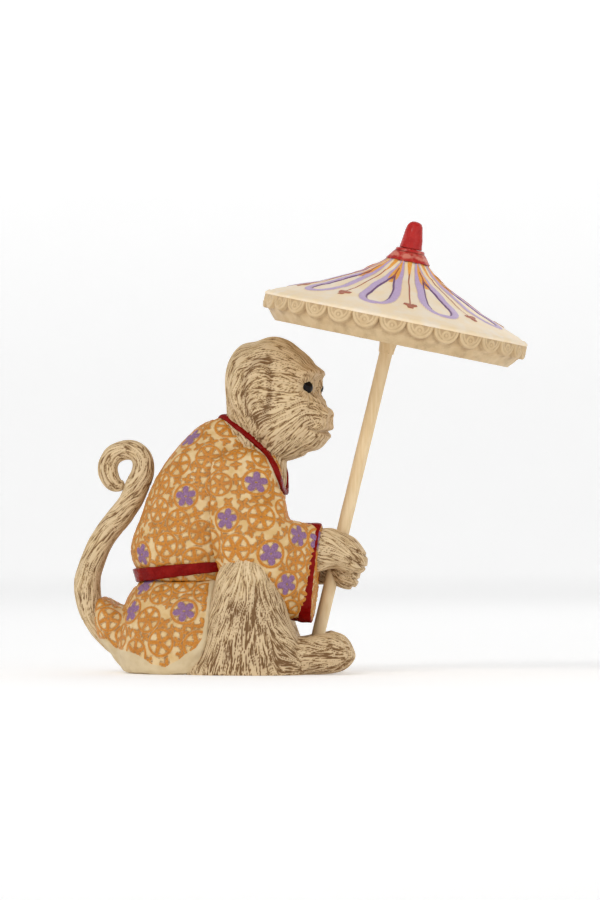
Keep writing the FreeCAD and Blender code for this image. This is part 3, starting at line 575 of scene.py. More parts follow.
def eased(value, low, high):
    """0 at low, 1 at high, smooth between them."""
    share = np.clip((value - low) / (high - low), 0, 1)
    return share * share * (3 - 2 * share)


def bell(distance, width):
    """1 at no distance, falling off to either side."""
    return np.exp(-(distance / width) ** 2)


def along_line(points, line):
    """Distance of each point from a broken line, and the share of the line passed there."""
    line = np.asarray(line, dtype=float)
    best = np.full(len(points), UNMET)
    passed = np.zeros(len(points))
    steps = np.linalg.norm(np.diff(line, axis=0), axis=1)
    begun = np.concatenate([[0], np.cumsum(steps)])
    for index, length in enumerate(steps):
        start = line[index]
        way = (line[index + 1] - start) / length
        reach = np.clip((points - start) @ way, 0, length)
        away = np.linalg.norm(points - start - reach[:, None] * way, axis=1)
        closer = away < best
        best = np.where(closer, away, best)
        passed = np.where(closer, (begun[index] + reach) / begun[-1], passed)
    return best, passed


def lie_of_hair(casting, strokes, seed, spread, jitter):
    """Direction of the hair at every point, from the strokes round it."""
    points = casting.points
    way = np.zeros_like(points)
    for place, lie in strokes:
        lie = np.asarray(lie, dtype=float)
        near = 1.0 / (np.sum((points - place) ** 2, axis=1) + spread ** 2) ** 2
        way += near[:, None] * lie / np.linalg.norm(lie)
    way /= np.maximum(np.linalg.norm(way, axis=1, keepdims=True), 1e-12)
    for axis in range(3):
        way[:, axis] += jitter * noise_at(points, 7.0, seed + 10 + axis)
    normal = casting.normals()
    way -= normal * np.einsum("ij,ij->i", way, normal)[:, None]
    return way / np.maximum(np.linalg.norm(way, axis=1, keepdims=True), 1e-9)


def combed(casting, strokes, seed, reach=6.5, fine=0.9, spread=6.0, jitter=0.3):
    """Share of a groove at every point, and how dark its strand is: noise drawn out along the hair."""
    way = lie_of_hair(casting, strokes, seed, spread, jitter)
    points, normal, beside = casting.points, casting.normals(), casting.beside()
    rows = np.arange(len(points))
    stride, groove_width, faintest = 0.55, 0.40, 0.75
    steps = int(reach / stride)
    field = noise_at(points, fine, seed)
    for sign in (1, -1):
        place, nearest = points.copy(), rows
        for step in range(1, steps + 1):
            place = place + sign * stride * way[nearest]
            near = beside[nearest]
            gap = np.sum((points[near] - place[:, None, :]) ** 2, axis=2)
            nearest = near[rows, np.argmin(gap, axis=1)]
            off = np.einsum("ij,ij->i", place - points[nearest], normal[nearest])
            place -= normal[nearest] * off[:, None]
            field += noise_at(place, fine, seed) * (1 - step / (steps + 1))
    field /= field.std()
    strength = eased(noise_at(points, 5.0, seed + 20), -0.75, 0.15)
    return bell(field, groove_width) * (faintest + (1 - faintest) * strength), 0.5 - 0.5 * np.tanh(field)


def comb(casting, strokes, seed, depth=1.0, wash=0.0, rosy=0.0, **options):
    """Cut combed grooves in a casting and note them for the paint."""
    unit = bpy.context.scene.figurine_casting.fur_depth / MM
    groove, strand = combed(casting, strokes, seed, **options)
    casting.masks["strand"] = strand
    casting.raise_by((0.3 - groove) * unit * depth)
    casting.masks["groove"] = 1 - 2 * groove * np.clip(depth * 1.5, 0, 1)
    for name, values in (("wash", wash), ("rosy", rosy)):
        casting.masks[name] = np.broadcast_to(values, (len(casting.points),))


def add_piece(name, mesh, body, slot, paint, *nodes):
    """A finished piece that stands for its nodes and rides on their body."""
    if paint:
        mesh.materials.clear()
        mesh.materials.append(finish_of(paint))
    mesh.name = name
    piece = bpy.data.objects.new(name, mesh)
    bpy.context.scene.collection.objects.link(piece)
    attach(piece, body)
    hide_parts(*nodes)
    return piece


def add_casting(casting, node, body, slot, paint):
    """The casting as a piece, kept inside the box of the whole figurine."""
    casting.points = np.clip(casting.points, np.array(CAD_BOX[0]) / MM, np.array(CAD_BOX[1]) / MM)
    casting.store()
    return add_piece(node + "_finish", casting.mesh, body, slot, paint, node)


# the robe

# flowers and rosettes that the near side shows, as pixels of the 600 x 900 photograph
VIOLET_PIXELS = ((186, 494), (257, 481), (226, 517), (141, 553), (185, 608), (131, 609), (299, 534),
                 (287, 583), (190, 436))
OCHRE_PIXELS = ((219, 483), (165, 543), (201, 530), (208, 455), (178, 463), (262, 515), (235, 548),
                (160, 640), (121, 634), (229, 462), (158, 508), (250, 548), (288, 508), (272, 570),
                (196, 560), (160, 592), (205, 590), (140, 640), (172, 575))
PIXEL_ORIGIN = (230, 672)
PIXEL_MM = 0.48
MOST_CENTRES = 400
# how the pattern fills the cloth, in radii of a large rosette
PINNED_GAP_SHARE = 1.8
ROSETTE_GAP_SHARE = 1.62
STAR_GAP_SHARE = 0.7
LARGEST_SHARE = 1.04
SMALLEST_FLOWER_SHARE = 0.9
SMALLEST_ROSETTE_SHARE = 0.74
# where the ring of a rosette lies and how wide it is drawn, in its own radius
RING_SHARE = 0.9
RING_WIDTH_SHARE = 0.095
FLOWER_RING_WIDTH_SHARE = 0.105
FLOWER_CHANCE = 0.08
STAR_REACH = 3.9
STAR_CLEARANCE, STAR_OVERLAP = 1.5, 1.5
# plain cloth beside the collar and beside the hem: where the pattern has ended, and where it is full
COLLAR_MARGIN = (2.5, 3.1)
HEM_MARGIN = (2.4, 3.1)
HEM_DROP = 3.6
VIEW_TURN = math.radians(VIEW_DEGREES)


def screen_of(points):
    """Pixels at which the camera sees points given in millimetres."""
    across = points[:, 0] * math.cos(VIEW_TURN) + points[:, 1] * math.sin(VIEW_TURN)
    return np.stack([PIXEL_ORIGIN[0] + across / PIXEL_MM, PIXEL_ORIGIN[1] - points[:, 2] / PIXEL_MM], axis=1)


def pinned(casting, normal, pixels, limit=5.0):
    """Points on the near side that the camera sees at given pixels."""
    screen = screen_of(casting.points)
    facing = np.flatnonzero(normal[:, 1] < -0.15)
    found = []
    for pixel in pixels:
        away = np.linalg.norm(screen[facing] - pixel, axis=1)
        if away.min() < limit:
            close = facing[away < away.min() + 1.0]
            found.append(int(close[np.argmin(casting.points[close, 1])]))
    return found


def scattered(casting, allowed, begun, gap):
    """Further centres, each as far as it can be from those before it."""
    points = casting.points
    centres = list(begun)
    allowed = np.flatnonzero(allowed)
    if not centres:
        centres.append(int(allowed[0]))
    distance = np.min([np.linalg.norm(points[allowed] - points[index], axis=1) for index in centres], axis=0)
    while distance.max() > gap and len(centres) < MOST_CENTRES:
        index = int(allowed[int(np.argmax(distance))])
        centres.append(index)
        distance = np.minimum(distance, np.linalg.norm(points[allowed] - points[index], axis=1))
    return centres


def flat_frame(normal):
    """Two directions square to a normal."""
    up = np.array([0.0, 0.0, 1.0]) if abs(normal[2]) < 0.9 else np.array([1.0, 0.0, 0.0])
    across = np.cross(up, normal)
    across /= np.linalg.norm(across)
    return across, np.cross(normal, across)


def polar_about(casting, normal, index, reach):
    """Points near a centre, their distance from it along the surface, and their bearing."""
    away = casting.points - casting.points[index]
    distance = np.linalg.norm(away, axis=1)
    near = np.flatnonzero((distance < reach) & (normal @ normal[index] > 0.1))
    across, up = flat_frame(normal[index])
    return near, distance[near], np.arctan2(away[near] @ up, away[near] @ across)


def rosette(radius, bearing, petals, turn):
    """Ring with lens-shaped spokes, cream between them, and an eye."""
    ring = bell(radius - RING_SHARE, RING_WIDTH_SHARE) * 1.15
    off = np.abs((bearing - turn + math.pi / petals) % (2 * math.pi / petals) - math.pi / petals)
    aside = radius * np.sin(off)
    lens = 0.115 * np.sin(np.pi * np.clip(radius / 0.92, 0, 1)) ** 0.7 + 0.03
    spoke = eased(lens - aside, -0.045, 0.045) * (radius < RING_SHARE)
    eye = bell(radius - 0.15, 0.075)
    spoke = np.where(radius < 0.1, 0.0, spoke)
    return np.clip(np.maximum.reduce([ring, spoke, eye]), 0, 1)


def flower(radius, bearing, petals, turn, full, sharpness=0.65):
    """Petals that meet in the middle."""
    lobe = np.abs(np.cos((bearing - turn) * petals / 2)) ** sharpness
    edge = full * (0.3 + 0.7 * lobe)
    return eased(edge - radius, -0.05, 0.05) * (radius > 0.09)


def pattern(casting, seed, allowed):
    """Rosettes, violet flowers and small stars over a robe piece, as relief and masks."""
    props = bpy.context.scene.figurine_casting
    size = props.rosette / MM
    chance = np.random.default_rng(seed)
    normal = casting.normals()
    count = len(casting.points)
    ochre = np.zeros(count)
    violet = np.zeros(count)
    taken = np.full(count, UNMET)
    flowers = pinned(casting, normal, VIOLET_PIXELS)
    first = flowers + pinned(casting, normal, OCHRE_PIXELS)
    kept = []
    for index in first:
        if all(np.linalg.norm(casting.points[index] - casting.points[other]) > size * PINNED_GAP_SHARE
               for other in kept):
            kept.append(index)
    centres = scattered(casting, allowed, kept, size * ROSETTE_GAP_SHARE)
    places = casting.points[centres]
    clear = np.full(count, UNMET)
    for number, index in enumerate(centres):
        others = np.delete(np.linalg.norm(places - casting.points[index], axis=1), number)
        is_flower = index in flowers or (number >= len(kept) and chance.random() < FLOWER_CHANCE)
        least = size * (SMALLEST_FLOWER_SHARE if is_flower else SMALLEST_ROSETTE_SHARE)
        scale = float(np.clip(others.min(initial=size * 2) * 0.5, least, size * LARGEST_SHARE))
        near, distance, bearing = polar_about(casting, normal, index, scale * 1.6)
        radius = distance / scale
        nearer = radius < taken[near]
        turn = chance.uniform(0, math.pi)
        if is_flower:
            drawn = bell(radius - RING_SHARE, FLOWER_RING_WIDTH_SHARE) * 1.1
            bloom = flower(radius, bearing, 5, turn, 0.8)
        else:
            drawn = rosette(radius, bearing, chance.choice([5, 6]), turn)
            bloom = np.zeros(len(near))
        violet[near] = np.where(nearer, bloom, violet[near])
        ring = drawn * (radius > 0.8) * (radius < 1.1)
        ochre[near] = np.where(nearer, drawn, np.maximum(ochre[near], ring))
        taken[near] = np.where(nearer, radius, taken[near])
        clear[near] = np.minimum(clear[near], distance - scale)
    free = allowed & (clear > STAR_CLEARANCE) & (clear < UNMET)
    between = scattered(casting, free, [], size * STAR_GAP_SHARE)
    for index in between:
        reach = min(float(clear[index]) + STAR_OVERLAP, STAR_REACH)
        near, distance, bearing = polar_about(casting, normal, index, reach * 1.2)
        star = flower(distance / reach, bearing, 4, chance.uniform(0, math.pi), 0.95, 2.2)
        ochre[near] = np.maximum(ochre[near], star * eased(clear[near], 0.15, 0.5))
    return np.clip(ochre, 0, 1), np.clip(violet, 0, 1)


def dress(casting, seed, border):
    """Cut the pattern in a robe piece and note it for the paint."""
    props = bpy.context.scene.figurine_casting
    allowed = border < 0.3
    ochre, violet = pattern(casting, seed, allowed)
    ochre = ochre * (1 - border)
    violet = violet * (1 - border)
    grain = noise_at(casting.points, 1.3, seed + 5) * 0.06 + noise_at(casting.points, 4.0, seed + 6) * 0.12
    height = np.maximum(ochre, violet * 1.1) * props.relief / MM + border * 0.3 + grain * 1.3
    hollow = casting.calm(height, 6) - height
    casting.raise_by(height - 0.15)
    casting.masks["ochre"] = ochre
    casting.masks["violet"] = violet
    casting.masks["border"] = border
    rim = casting.calm((np.maximum(ochre, violet) > 0.5).astype(float), 2)
    rim = bell(rim - 0.42, 0.25) * (rim > 0.02)
    casting.masks["cavity"] = np.clip(hollow / 0.3 + 0.8 * rim, 0, 1.4)


def surface_tree(node):
    """Search tree of a node's faces, in metres."""
    mesh = merged_copy(node)
    tree = BVHTree.FromPolygons([vertex.co for vertex in mesh.vertices],
                                [tuple(face.vertices) for face in mesh.polygons])
    bpy.data.meshes.remove(mesh)
    return tree


def distance_to(points, node, limit):
    """Distance in millimetres of each point from a node's surface."""
    tree = surface_tree(node)
    found = np.full(len(points), limit)
    low, high = box_mm(node)
    close = np.flatnonzero(np.all((points > low - limit) & (points < high + limit), axis=1))
    for index in close:
        hit = tree.find_nearest(Vector(points[index] * MM), limit * MM)
        if hit[3] is not None:
            found[index] = hit[3] / MM
    return found


def finish_robe_top():
    """Folds over the waist, and the pattern up to the collar."""
    casting = recast("robe_top", smoothing=12)
    points = casting.points
    waist = box_mm("robe_top")[0][2]
    pinch = -0.5 * bell(points[:, 2] - waist - 1.0, 5.0)
    folds = pinch + 0.5 * noise_at(points * (1, 1, 0.45), 16.0, 31)
    casting.raise_by(folds)
    collar = under_collar(casting, full=3.0, reach=13.0, lifted=True)
    border = 1 - eased(collar, *COLLAR_MARGIN)
    dress(casting, 11, border)
    add_casting(casting, "robe_top", "monkey", "robe", "robe")


# lower edge of the robe on the near side, in pixels of the photograph
HEM_PIXELS = ((217, 570), (215, 584), (212, 612), (208, 638), (201, 649), (183, 660), (166, 665), (151, 663),
              (131, 656), (113, 652), (102, 643))
ROBE_CORNERS = ((60, 600), (60, 500), (217, 500))


def inside_outline(places, corners):
    """Whether each place lies inside a closed outline."""
    result = np.zeros(len(places), dtype=bool)
    for (x0, y0), (x1, y1) in zip(corners, corners[1:] + corners[:1]):
        if y0 == y1:
            continue
        crosses = (places[:, 1] < y0) != (places[:, 1] < y1)
        meets = x0 + (places[:, 1] - y0) / (y1 - y0) * (x1 - x0)
        result ^= crosses & (places[:, 0] < meets)
    return result


def finish_robe_skirt():
    """The pattern down to the edge of the robe, and plain paint under it."""
    casting = recast("robe_skirt", smoothing=12)
    points = casting.points
    low = box_mm("robe_skirt")[0][2]
    near_side = points * (1, 0, 1) - np.abs(points) * (0, 1, 0)
    screen = screen_of(near_side)
    robe = inside_outline(screen, HEM_PIXELS + ROBE_CORNERS)
    line = np.concatenate([screen, np.zeros((len(screen), 1))], axis=1)
    away, _ = along_line(line, [(x, y, 0) for x, y in HEM_PIXELS])
    away *= PIXEL_MM
    border = np.where(robe, 1 - eased(away, *HEM_MARGIN), 1.0)
    folds = 0.7 * noise_at(points * (1, 1, 0.5), 14.0, 37) * eased(points[:, 2] - low, 2, 8)
    folds += np.where(robe, 0.35 * bell(away - 1.2, 1.0), -0.5 * eased(away, 0.0, 1.2))
    casting.raise_by(folds)
    casting.points[:, 2] -= HEM_DROP * (1 - eased(points[:, 2] - low, 0.0, 6.0))
    dress(casting, 12, border)
    add_casting(casting, "robe_skirt", "monkey", "robe", "robe")


# height of the sleeve's seam on the robe, and the elbow: from the sleeve's rear end, and its height
SEAM_BOTTOM, SEAM_TOP = 46, 78
ELBOW_BACK, ELBOW_UP = 9, 52


def finish_sleeve(side, seed):
    """Folds at the elbow, a crease where it meets the robe, and the pattern."""
    node = side + "_sleeve"
    casting = recast(node, smoothing=12)
    points = casting.points
    cuff = distance_to(points, side + "_cuff_band", 6.0)
    top = distance_to(points, "robe_top", 6.0)
    behind = eased(SEAM_TOP - points[:, 2], 0, 4) * eased(points[:, 2] - SEAM_BOTTOM, 0, 4)
    border = (1 - eased(top, 1.6, 2.6)) * behind
    crease = -1.5 * bell(top - 0.2, 1.3) + 0.5 * bell(top - 2.6, 1.4)
    low = box_mm(node)[0]
    tone = noise_at(points * (0.6, 1, 1.0), 13.0, seed + 7)
    bend = (low[0] + ELBOW_BACK, points[:, 1].mean(), ELBOW_UP)
    elbow = np.linalg.norm((points - bend) * (1, 0, 1), axis=1)
    folds = crease + 0.55 * tone + 0.5 * np.sin(elbow / 4.5) * eased(26 - elbow, 0, 16)
    casting.raise_by(folds * eased(cuff, 0.5, 4.0))
    collar = under_collar(casting, full=3.0, reach=9.0, lifted=True)
    dress(casting, seed, np.maximum(border, 1 - eased(collar, *COLLAR_MARGIN)))
    add_casting(casting, node, "monkey", "robe", "robe")


TRIM_ROUGHNESS = 0.22
TRIM_SWELL = 0.16 * MM
CUFF_WIDENING = 3.12


def finish_trim(node, seed, wider=0.0):
    """A red band, brushed on thick and a little uneven, its rear edge drawn back to make it wider."""
    casting = recast(node, smoothing=6, swell=TRIM_SWELL)
    rear = eased(-casting.normals()[:, 0], 0.35, 0.8)
    beside = casting.beside()
    for _ in range(8):
        rear = rear[beside].mean(axis=1)
    casting.points[:, 0] -= rear * wider
    points = casting.points
    fine = noise_at(points, 1.6, seed + 1) * TRIM_ROUGHNESS * 0.45
    casting.raise_by(noise_at(points, 5.0, seed) * TRIM_ROUGHNESS + fine)
    casting.masks["worn"] = np.clip(noise_at(points, 3.0, seed + 2) * 0.6 + 0.1, 0, 1)
    add_casting(casting, node, "monkey", "red_trim", "red")


# middle of the collar on the near side, in pixels of the photograph, nape to throat
COLLAR_PIXELS = ((224, 415), (238, 426), (251, 437), (263, 448), (272.5, 462), (278.5, 476), (283, 490))
COLLAR_ENDS = ((-4.6, 0.0, 120.2), (27.2, 0.0, 87.4))
COLLAR_WIDTHS = (4.4, 2.8)
COLLAR_HALF_HEIGHT = 1.15
COLLAR_SUNK = 0.1
COLLAR_CLEARANCE = 0.5
COLLAR_POINTS = 260
# nothing of the collar but its ends comes nearer to the middle plane than this
COLLAR_ASIDE = 4.0
FAR = 200.0


def curved(path, count):
    """Points evenly along a closed smooth curve through a path."""
    path = np.asarray(path)
    total = len(path)
    result = []
    for step in range(count):
        place = step / count * total
        index = int(place)
        share = place - index
        before, here, after, last = (path[(index + k) % total] for k in (-1, 0, 1, 2))
        result.append(0.5 * (2 * here + (after - before) * share
                             + (2 * before - 5 * here + 4 * after - last) * share ** 2
                             + (3 * here - before - 3 * after + last) * share ** 3))
    return np.array(result)


def on_shoulder(robe, neck, start, way, apart=6.0, sunk=1.6):
    """Where the collar lies along a ray: on the robe, or on the neck where the robe is far behind it."""
    cloth, skin = first_hit(robe, start, way), first_hit(neck, start, way)
    gap = (cloth - skin) @ way
    if gap <= 0:
        return cloth
    return skin + way * sunk if gap > apart else (cloth + skin) / 2


def first_hit(trees, start, way):
    """Where a ray first meets any of the surfaces, or else where it comes near the middle plane."""
    best, found = UNMET, None
    for tree in trees:
        place, _, _, distance = tree.ray_cast(Vector(start * MM), Vector(way))
        if place is not None and distance < best:
            best, found = distance, np.array(place) / MM
    if found is None:
        beside = math.copysign(COLLAR_ASIDE, start[1])
        found = start + way * (beside - start[1]) / way[1]
    return found


@functools.lru_cache(maxsize=1)
def collar_line():
    """Closed middle line of the collar, its way, its outward direction, and how far down it is."""
    robe = [surface_tree(node) for node in ("robe_top", "right_sleeve", "left_sleeve", "collar_band")]
    neck = [surface_tree("head")]
    toward = np.array((0.0, -1.0, 0.0))
    ahead = np.array((-math.sin(VIEW_TURN), math.cos(VIEW_TURN), 0.0))
    across = np.array((math.cos(VIEW_TURN), math.sin(VIEW_TURN), 0.0))
    near, far = [], []
    for x, y in COLLAR_PIXELS:
        start = across * (x - PIXEL_ORIGIN[0]) * PIXEL_MM + (0, 0, (PIXEL_ORIGIN[1] - y) * PIXEL_MM)
        near.append(on_shoulder(robe, neck, start - ahead * FAR, ahead))
        far.append(on_shoulder(robe, neck, np.array((near[-1][0], FAR, near[-1][2])), toward))
    for point in near:
        point[1] = min(point[1], -COLLAR_ASIDE)
    for point, other in zip(far, near):
        point[1] = min(max(point[1], COLLAR_ASIDE), -other[1] + 2.0)
    nape, throat = np.array(COLLAR_ENDS[0]), np.array(COLLAR_ENDS[1])
    loop = curved([nape] + near + [throat] + far[::-1], COLLAR_POINTS)
    for _ in range(6):
        loop = 0.5 * loop + 0.25 * (np.roll(loop, 1, axis=0) + np.roll(loop, -1, axis=0))
    way = np.roll(loop, -1, axis=0) - np.roll(loop, 1, axis=0)
    way /= np.linalg.norm(way, axis=1, keepdims=True)
    lean = throat - nape
    length = np.linalg.norm(lean)
    lean /= length
    up = np.cross(lean, (0.0, 1.0, 0.0))
    up *= math.copysign(1.0, up[2])
    away = loop - loop.mean(axis=0)
    away -= up * (away @ up)[:, None]
    away /= np.linalg.norm(away, axis=1, keepdims=True)
    out = away * 0.8 + up * 0.6
    out -= way * np.einsum("ij,ij->i", out, way)[:, None]
    out /= np.linalg.norm(out, axis=1, keepdims=True)
    return loop, way, out, np.clip((loop - nape) @ lean / length, 0, 1)


def under_collar(casting, full, reach, lifted=False):
    """Press a casting in, or lift it too, where the collar lies on it; returns the distance from it."""
    loop, _, out, _ = collar_line()
    tree = KDTree(len(loop))
    for index, point in enumerate(loop):
        tree.insert(point, index)
    tree.balance()
    found = np.full(len(casting.points), 99.0)
    low, high = loop.min(axis=0) - reach, loop.max(axis=0) + reach
    for row in np.flatnonzero(np.all((casting.points > low) & (casting.points < high), axis=1)):
        point = casting.points[row]
        _, index, distance = tree.find(point)
        found[row] = distance
        proud = (point - loop[index]) @ out[index] + COLLAR_CLEARANCE
        if (proud > 0 or lifted) and distance < reach:
            share = 1 - eased(distance, full, reach)
            casting.points[row] = point - out[index] * proud * share
    return found


def finish_collar():
    """A flat cord of enamel that lies on the shoulders and meets at the throat."""
    loop, way, out, share = collar_line()
    beside = np.cross(way, out)
    half = (COLLAR_WIDTHS[0] + (COLLAR_WIDTHS[1] - COLLAR_WIDTHS[0]) * share) / 2
    sides, count = 20, len(loop)
    points, faces = [], []
    for index in range(count):
        for side in range(sides):
            turn = 2 * math.pi * side / sides
            flat = math.copysign(abs(math.cos(turn)) ** 0.7, math.cos(turn)) * half[index]
            high = math.copysign(abs(math.sin(turn)) ** 0.8, math.sin(turn)) * COLLAR_HALF_HEIGHT
            points.append(loop[index] + beside[index] * flat + out[index] * (high - COLLAR_SUNK))
            a, b = index * sides + side, index * sides + (side + 1) % sides
            following = (index + 1) % count * sides
            faces.append((a, b, following + (side + 1) % sides, following + side))
    points = np.array(points)
    rough = 0.2 * noise_at(points, 4.5, 64) + 0.08 * noise_at(points, 1.6, 65)
    points += np.repeat(out, sides, axis=0) * rough[:, None]
    mesh = bpy.data.meshes.new("collar")
    mesh.from_pydata((points * MM).tolist(), [], faces)
    write_masks(mesh, {"worn": np.clip(noise_at(points, 3.0, 66) * 0.6 + 0.1, 0, 1)})
    outward(mesh)
    add_piece("collar_band_finish", mesh, "monkey", "red_trim", "red", "collar_band")


# the monkey

HEAD_TURN = math.radians(9)
HEAD_AXIS = 21.8


def in_head(points):
    """Points as the straight head would have them: forward, to its left, and up."""
    forward = points[:, 0] - HEAD_AXIS
    cos, sin = math.cos(HEAD_TURN), math.sin(HEAD_TURN)
    return np.stack([forward * cos - points[:, 1] * sin, forward * sin + points[:, 1] * cos,
                     points[:, 2]], axis=1)


def out_of_head(vector):
    """A direction in the straight head, as the turned head has it."""
    cos, sin = math.cos(HEAD_TURN), math.sin(HEAD_TURN)
    return np.array([vector[0] * cos + vector[1] * sin, -vector[0] * sin + vector[1] * cos, vector[2]])


def head_point(forward, aside, up):
    """A place on the straight head, as the turned head has it."""
    place = out_of_head((forward, aside, 0.0))
    return np.array([place[0] + HEAD_AXIS, place[1], up])


# lie of the hair on the head's side: forward, up, then the way forward and up, all in millimetres
HEAD_STROKES = (
    (20, 145, -0.9, 0.45), (12, 152, -1.0, 0.35), (4, 159, -1.0, 0.10), (-6, 160, -1.0, -0.2),
    (-16, 154, -0.7, -0.7), (-23, 144, -0.25, -1.0), (-25, 134, 0.05, -1.0), (-22, 122, 0.35, -1.0),
    (-16, 112, 0.55, -0.85), (-8, 102, 0.7, -0.8), (4, 148, -1.0, 0.1), (-6, 149, -0.9, -0.35),
    (-14, 142, -0.4, -1.0), (-15, 130, 0.1, -1.0), (-10, 120, 0.45, -0.9), (12, 139, -1.0, 0.15),
    (4, 137, -1.0, 0.25), (2, 130, -1.0, 0.05), (10, 128, -1.0, -0.15), (16, 127, -1.0, -0.35),
    (2, 122, -0.9, -0.4), (12, 119, -0.8, -0.6), (4, 112, -0.75, -0.7), (16, 111, -0.6, -0.85),
    (20, 107, -0.7, -0.7), (8, 104, -0.8, -0.6), (0, 104, -0.6, -0.85), (24, 122, -0.6, -0.5),
    (26, 128, -0.5, 0.5), (24, 140, -0.3, 1.0),
)


def mirrored_strokes(rows, aside, place=head_point, turn=out_of_head):
    """The same strokes on both sides, with the lie of the hair in that frame."""
    strokes = []
    for forward, up, way_forward, way_up in rows:
        for side in (-1, 1):
            strokes.append((place(forward, side * aside, up), turn((way_forward, 0.0, way_up))))
    return strokes


EYE_FORWARD, EYE_ASIDE, EYE_UP = 18.0, 8.7, 137.0
EYE_RADIUS = 3.3
EYE_SUNK = 0.9
# the opening between the lids: its bearing from straight ahead, half its width and half its height
EYE_BEARING = math.radians(46)
EYE_OPEN = math.radians(57)
EYE_TALL = math.radians(72)
EAR_BACK, EAR_UP = 2.6, 135.5
EAR_HALF_WIDTH, EAR_HALF_HEIGHT = 5.0, 11.5
BROW_UP = 144.4
CHIN_UP, CROWN_UP = 103.0, 156.0
# front of the face on its middle line: height and how far forward, from the photograph
PROFILE = ((160, 4.0), (154, 14.0), (150, 18.2), (147, 20.6), (144.6, 21.9), (142, 21.4), (139, 20.6),
           (136, 20.2), (133.5, 21.4), (131, 23.8), (128, 26.3), (126, 27.6), (124.2, 27.9), (122.6, 26.8),
           (120.5, 26.6), (118.5, 26.8), (116.9, 26.3), (115.7, 25.2), (114.6, 25.6), (113, 25.6),
           (111, 25.0), (109, 24.0), (107, 22.2), (105, 18.5), (103, 13.0))


def match_profile(casting):
    """Bring the middle line of the face to its profile, less and less to the sides."""
    local = in_head(casting.points)
    forward, aside, up = local[:, 0], np.abs(local[:, 1]), local[:, 2]
    levels = np.arange(CHIN_UP, CROWN_UP, 1.5)
    strip = aside < 2.0
    front = []
    for level in levels:
        here = strip & (np.abs(up - level) < 1.2)
        front.append(forward[here].max() if here.any() else 0.0)
    heights, reaches = zip(*reversed(PROFILE))
    shift = np.interp(levels, heights, reaches) - np.array(front)
    move = np.interp(up, levels, shift) * bell(aside, 8.5) * eased(forward, 6, 17)
    casting.points += move[:, None] * out_of_head((1.0, 0.0, 0.0))


# forms on both sides of the face: how far out, place and half width to the side, place and half height,
# and how far forward on the head they begin and are full
FACE_FORMS = {
    "bag under the eye": (0.6, 9.5, 5.5, 131.2, 1.7, 12, 17),
    "fold under the bag": (-0.7, 9.0, 6.0, 128.3, 1.3, 12, 18),
    "wing of the nose": (0.9, 3.9, 1.9, 125.2, 2.4, 19, 24),
    "nostril": (-1.7, 3.0, 1.3, 123.8, 1.0, 20, 24),
    "crease beside the nose": (-0.9, 7.4, 1.1, 123.6, 4.0, 15, 21),
}


def from_ear(forward, up):
    """Distance from the ear's middle: 1 on its outline."""
    return np.hypot((forward + EAR_BACK) / EAR_HALF_WIDTH, (up - EAR_UP) / EAR_HALF_HEIGHT)


def head_forms(points):
    """Heights that model the ears, brow, nose and cheeks, by places in millimetres on the straight head."""
    local = in_head(points)
    forward, aside, up = local[:, 0], np.abs(local[:, 1]), local[:, 2]
    ear = from_ear(forward, up)
    on_side = eased(aside, 11, 16)
    height = (1.3 * bell(ear - 0.95, 0.24) - 1.2 * bell(ear, 0.62)) * on_side
    height += 0.9 * bell(np.hypot((forward + EAR_BACK - 2.5) / 2.0, (up - 131) / 4.0), 1.0) * on_side
    height -= 0.6 * bell(ear - 1.45, 0.24) * on_side
    brow_line = BROW_UP - 0.02 * (aside - 4) ** 2
    brow = eased(forward, 11, 17) * eased(18 - aside, 0, 6)
    height += 1.2 * bell(up - brow_line, 1.8) * brow
    height -= 0.5 * bell(up - brow_line - 4.4, 1.5) * brow
    for rise, place_aside, half_width, place_up, half_height, begun, full in FACE_FORMS.values():
        away = np.hypot((aside - place_aside) / half_width, (up - place_up) / half_height)
        height += rise * bell(away, 1.0) * eased(forward, begun, full)
    height -= 0.35 * bell(aside, 0.7) * bell(up - 120.5, 2.6) * eased(forward, 20, 24)
    return height


def open_eyes(casting):
    """Draw the head in behind each eye, with a lid round the opening; returns the lids' mask."""
    local = in_head(casting.points)
    lids = np.zeros(len(local))
    for side in (-1, 1):
        middle = np.array((EYE_FORWARD, side * EYE_ASIDE, EYE_UP))
        away = local - middle
        distance = np.linalg.norm(away, axis=1)
        bearing = np.arctan2(away[:, 1] * side, away[:, 0]) - EYE_BEARING
        height = np.arctan2(away[:, 2], np.hypot(away[:, 0], away[:, 1]))
        corner = np.clip(bearing / EYE_OPEN, -1, 1)
        tall = EYE_TALL * np.sqrt(1 - np.abs(corner) ** 2.5) * (1 - 0.25 * corner)
        margin = (tall - np.abs(height)) * (np.abs(bearing) < EYE_OPEN)
        near = eased(9.0 - distance, 0, 2.0)
        opened = eased(margin, 0.0, 0.16) * near
        lid = bell(margin + 0.14, 0.2) * near * (1 - opened)
        reach = distance * (1 - opened) + (EYE_RADIUS - EYE_SUNK) * opened
        reach += 0.75 * lid * (distance < 7.5)
        moved = middle + away * (reach / np.maximum(distance, 0.1))[:, None]
        casting.points += out_of_head((moved - local).T).T
        lids = np.maximum(lids, np.maximum(opened, lid * 0.6))
    return lids


# the mouth from its corner to the front, seen from the side: forward and up
MOUTH_LINE = ((17.8, 120.4), (18.8, 118.6), (21.6, 116.6), (24.4, 115.7), (30.0, 115.7))


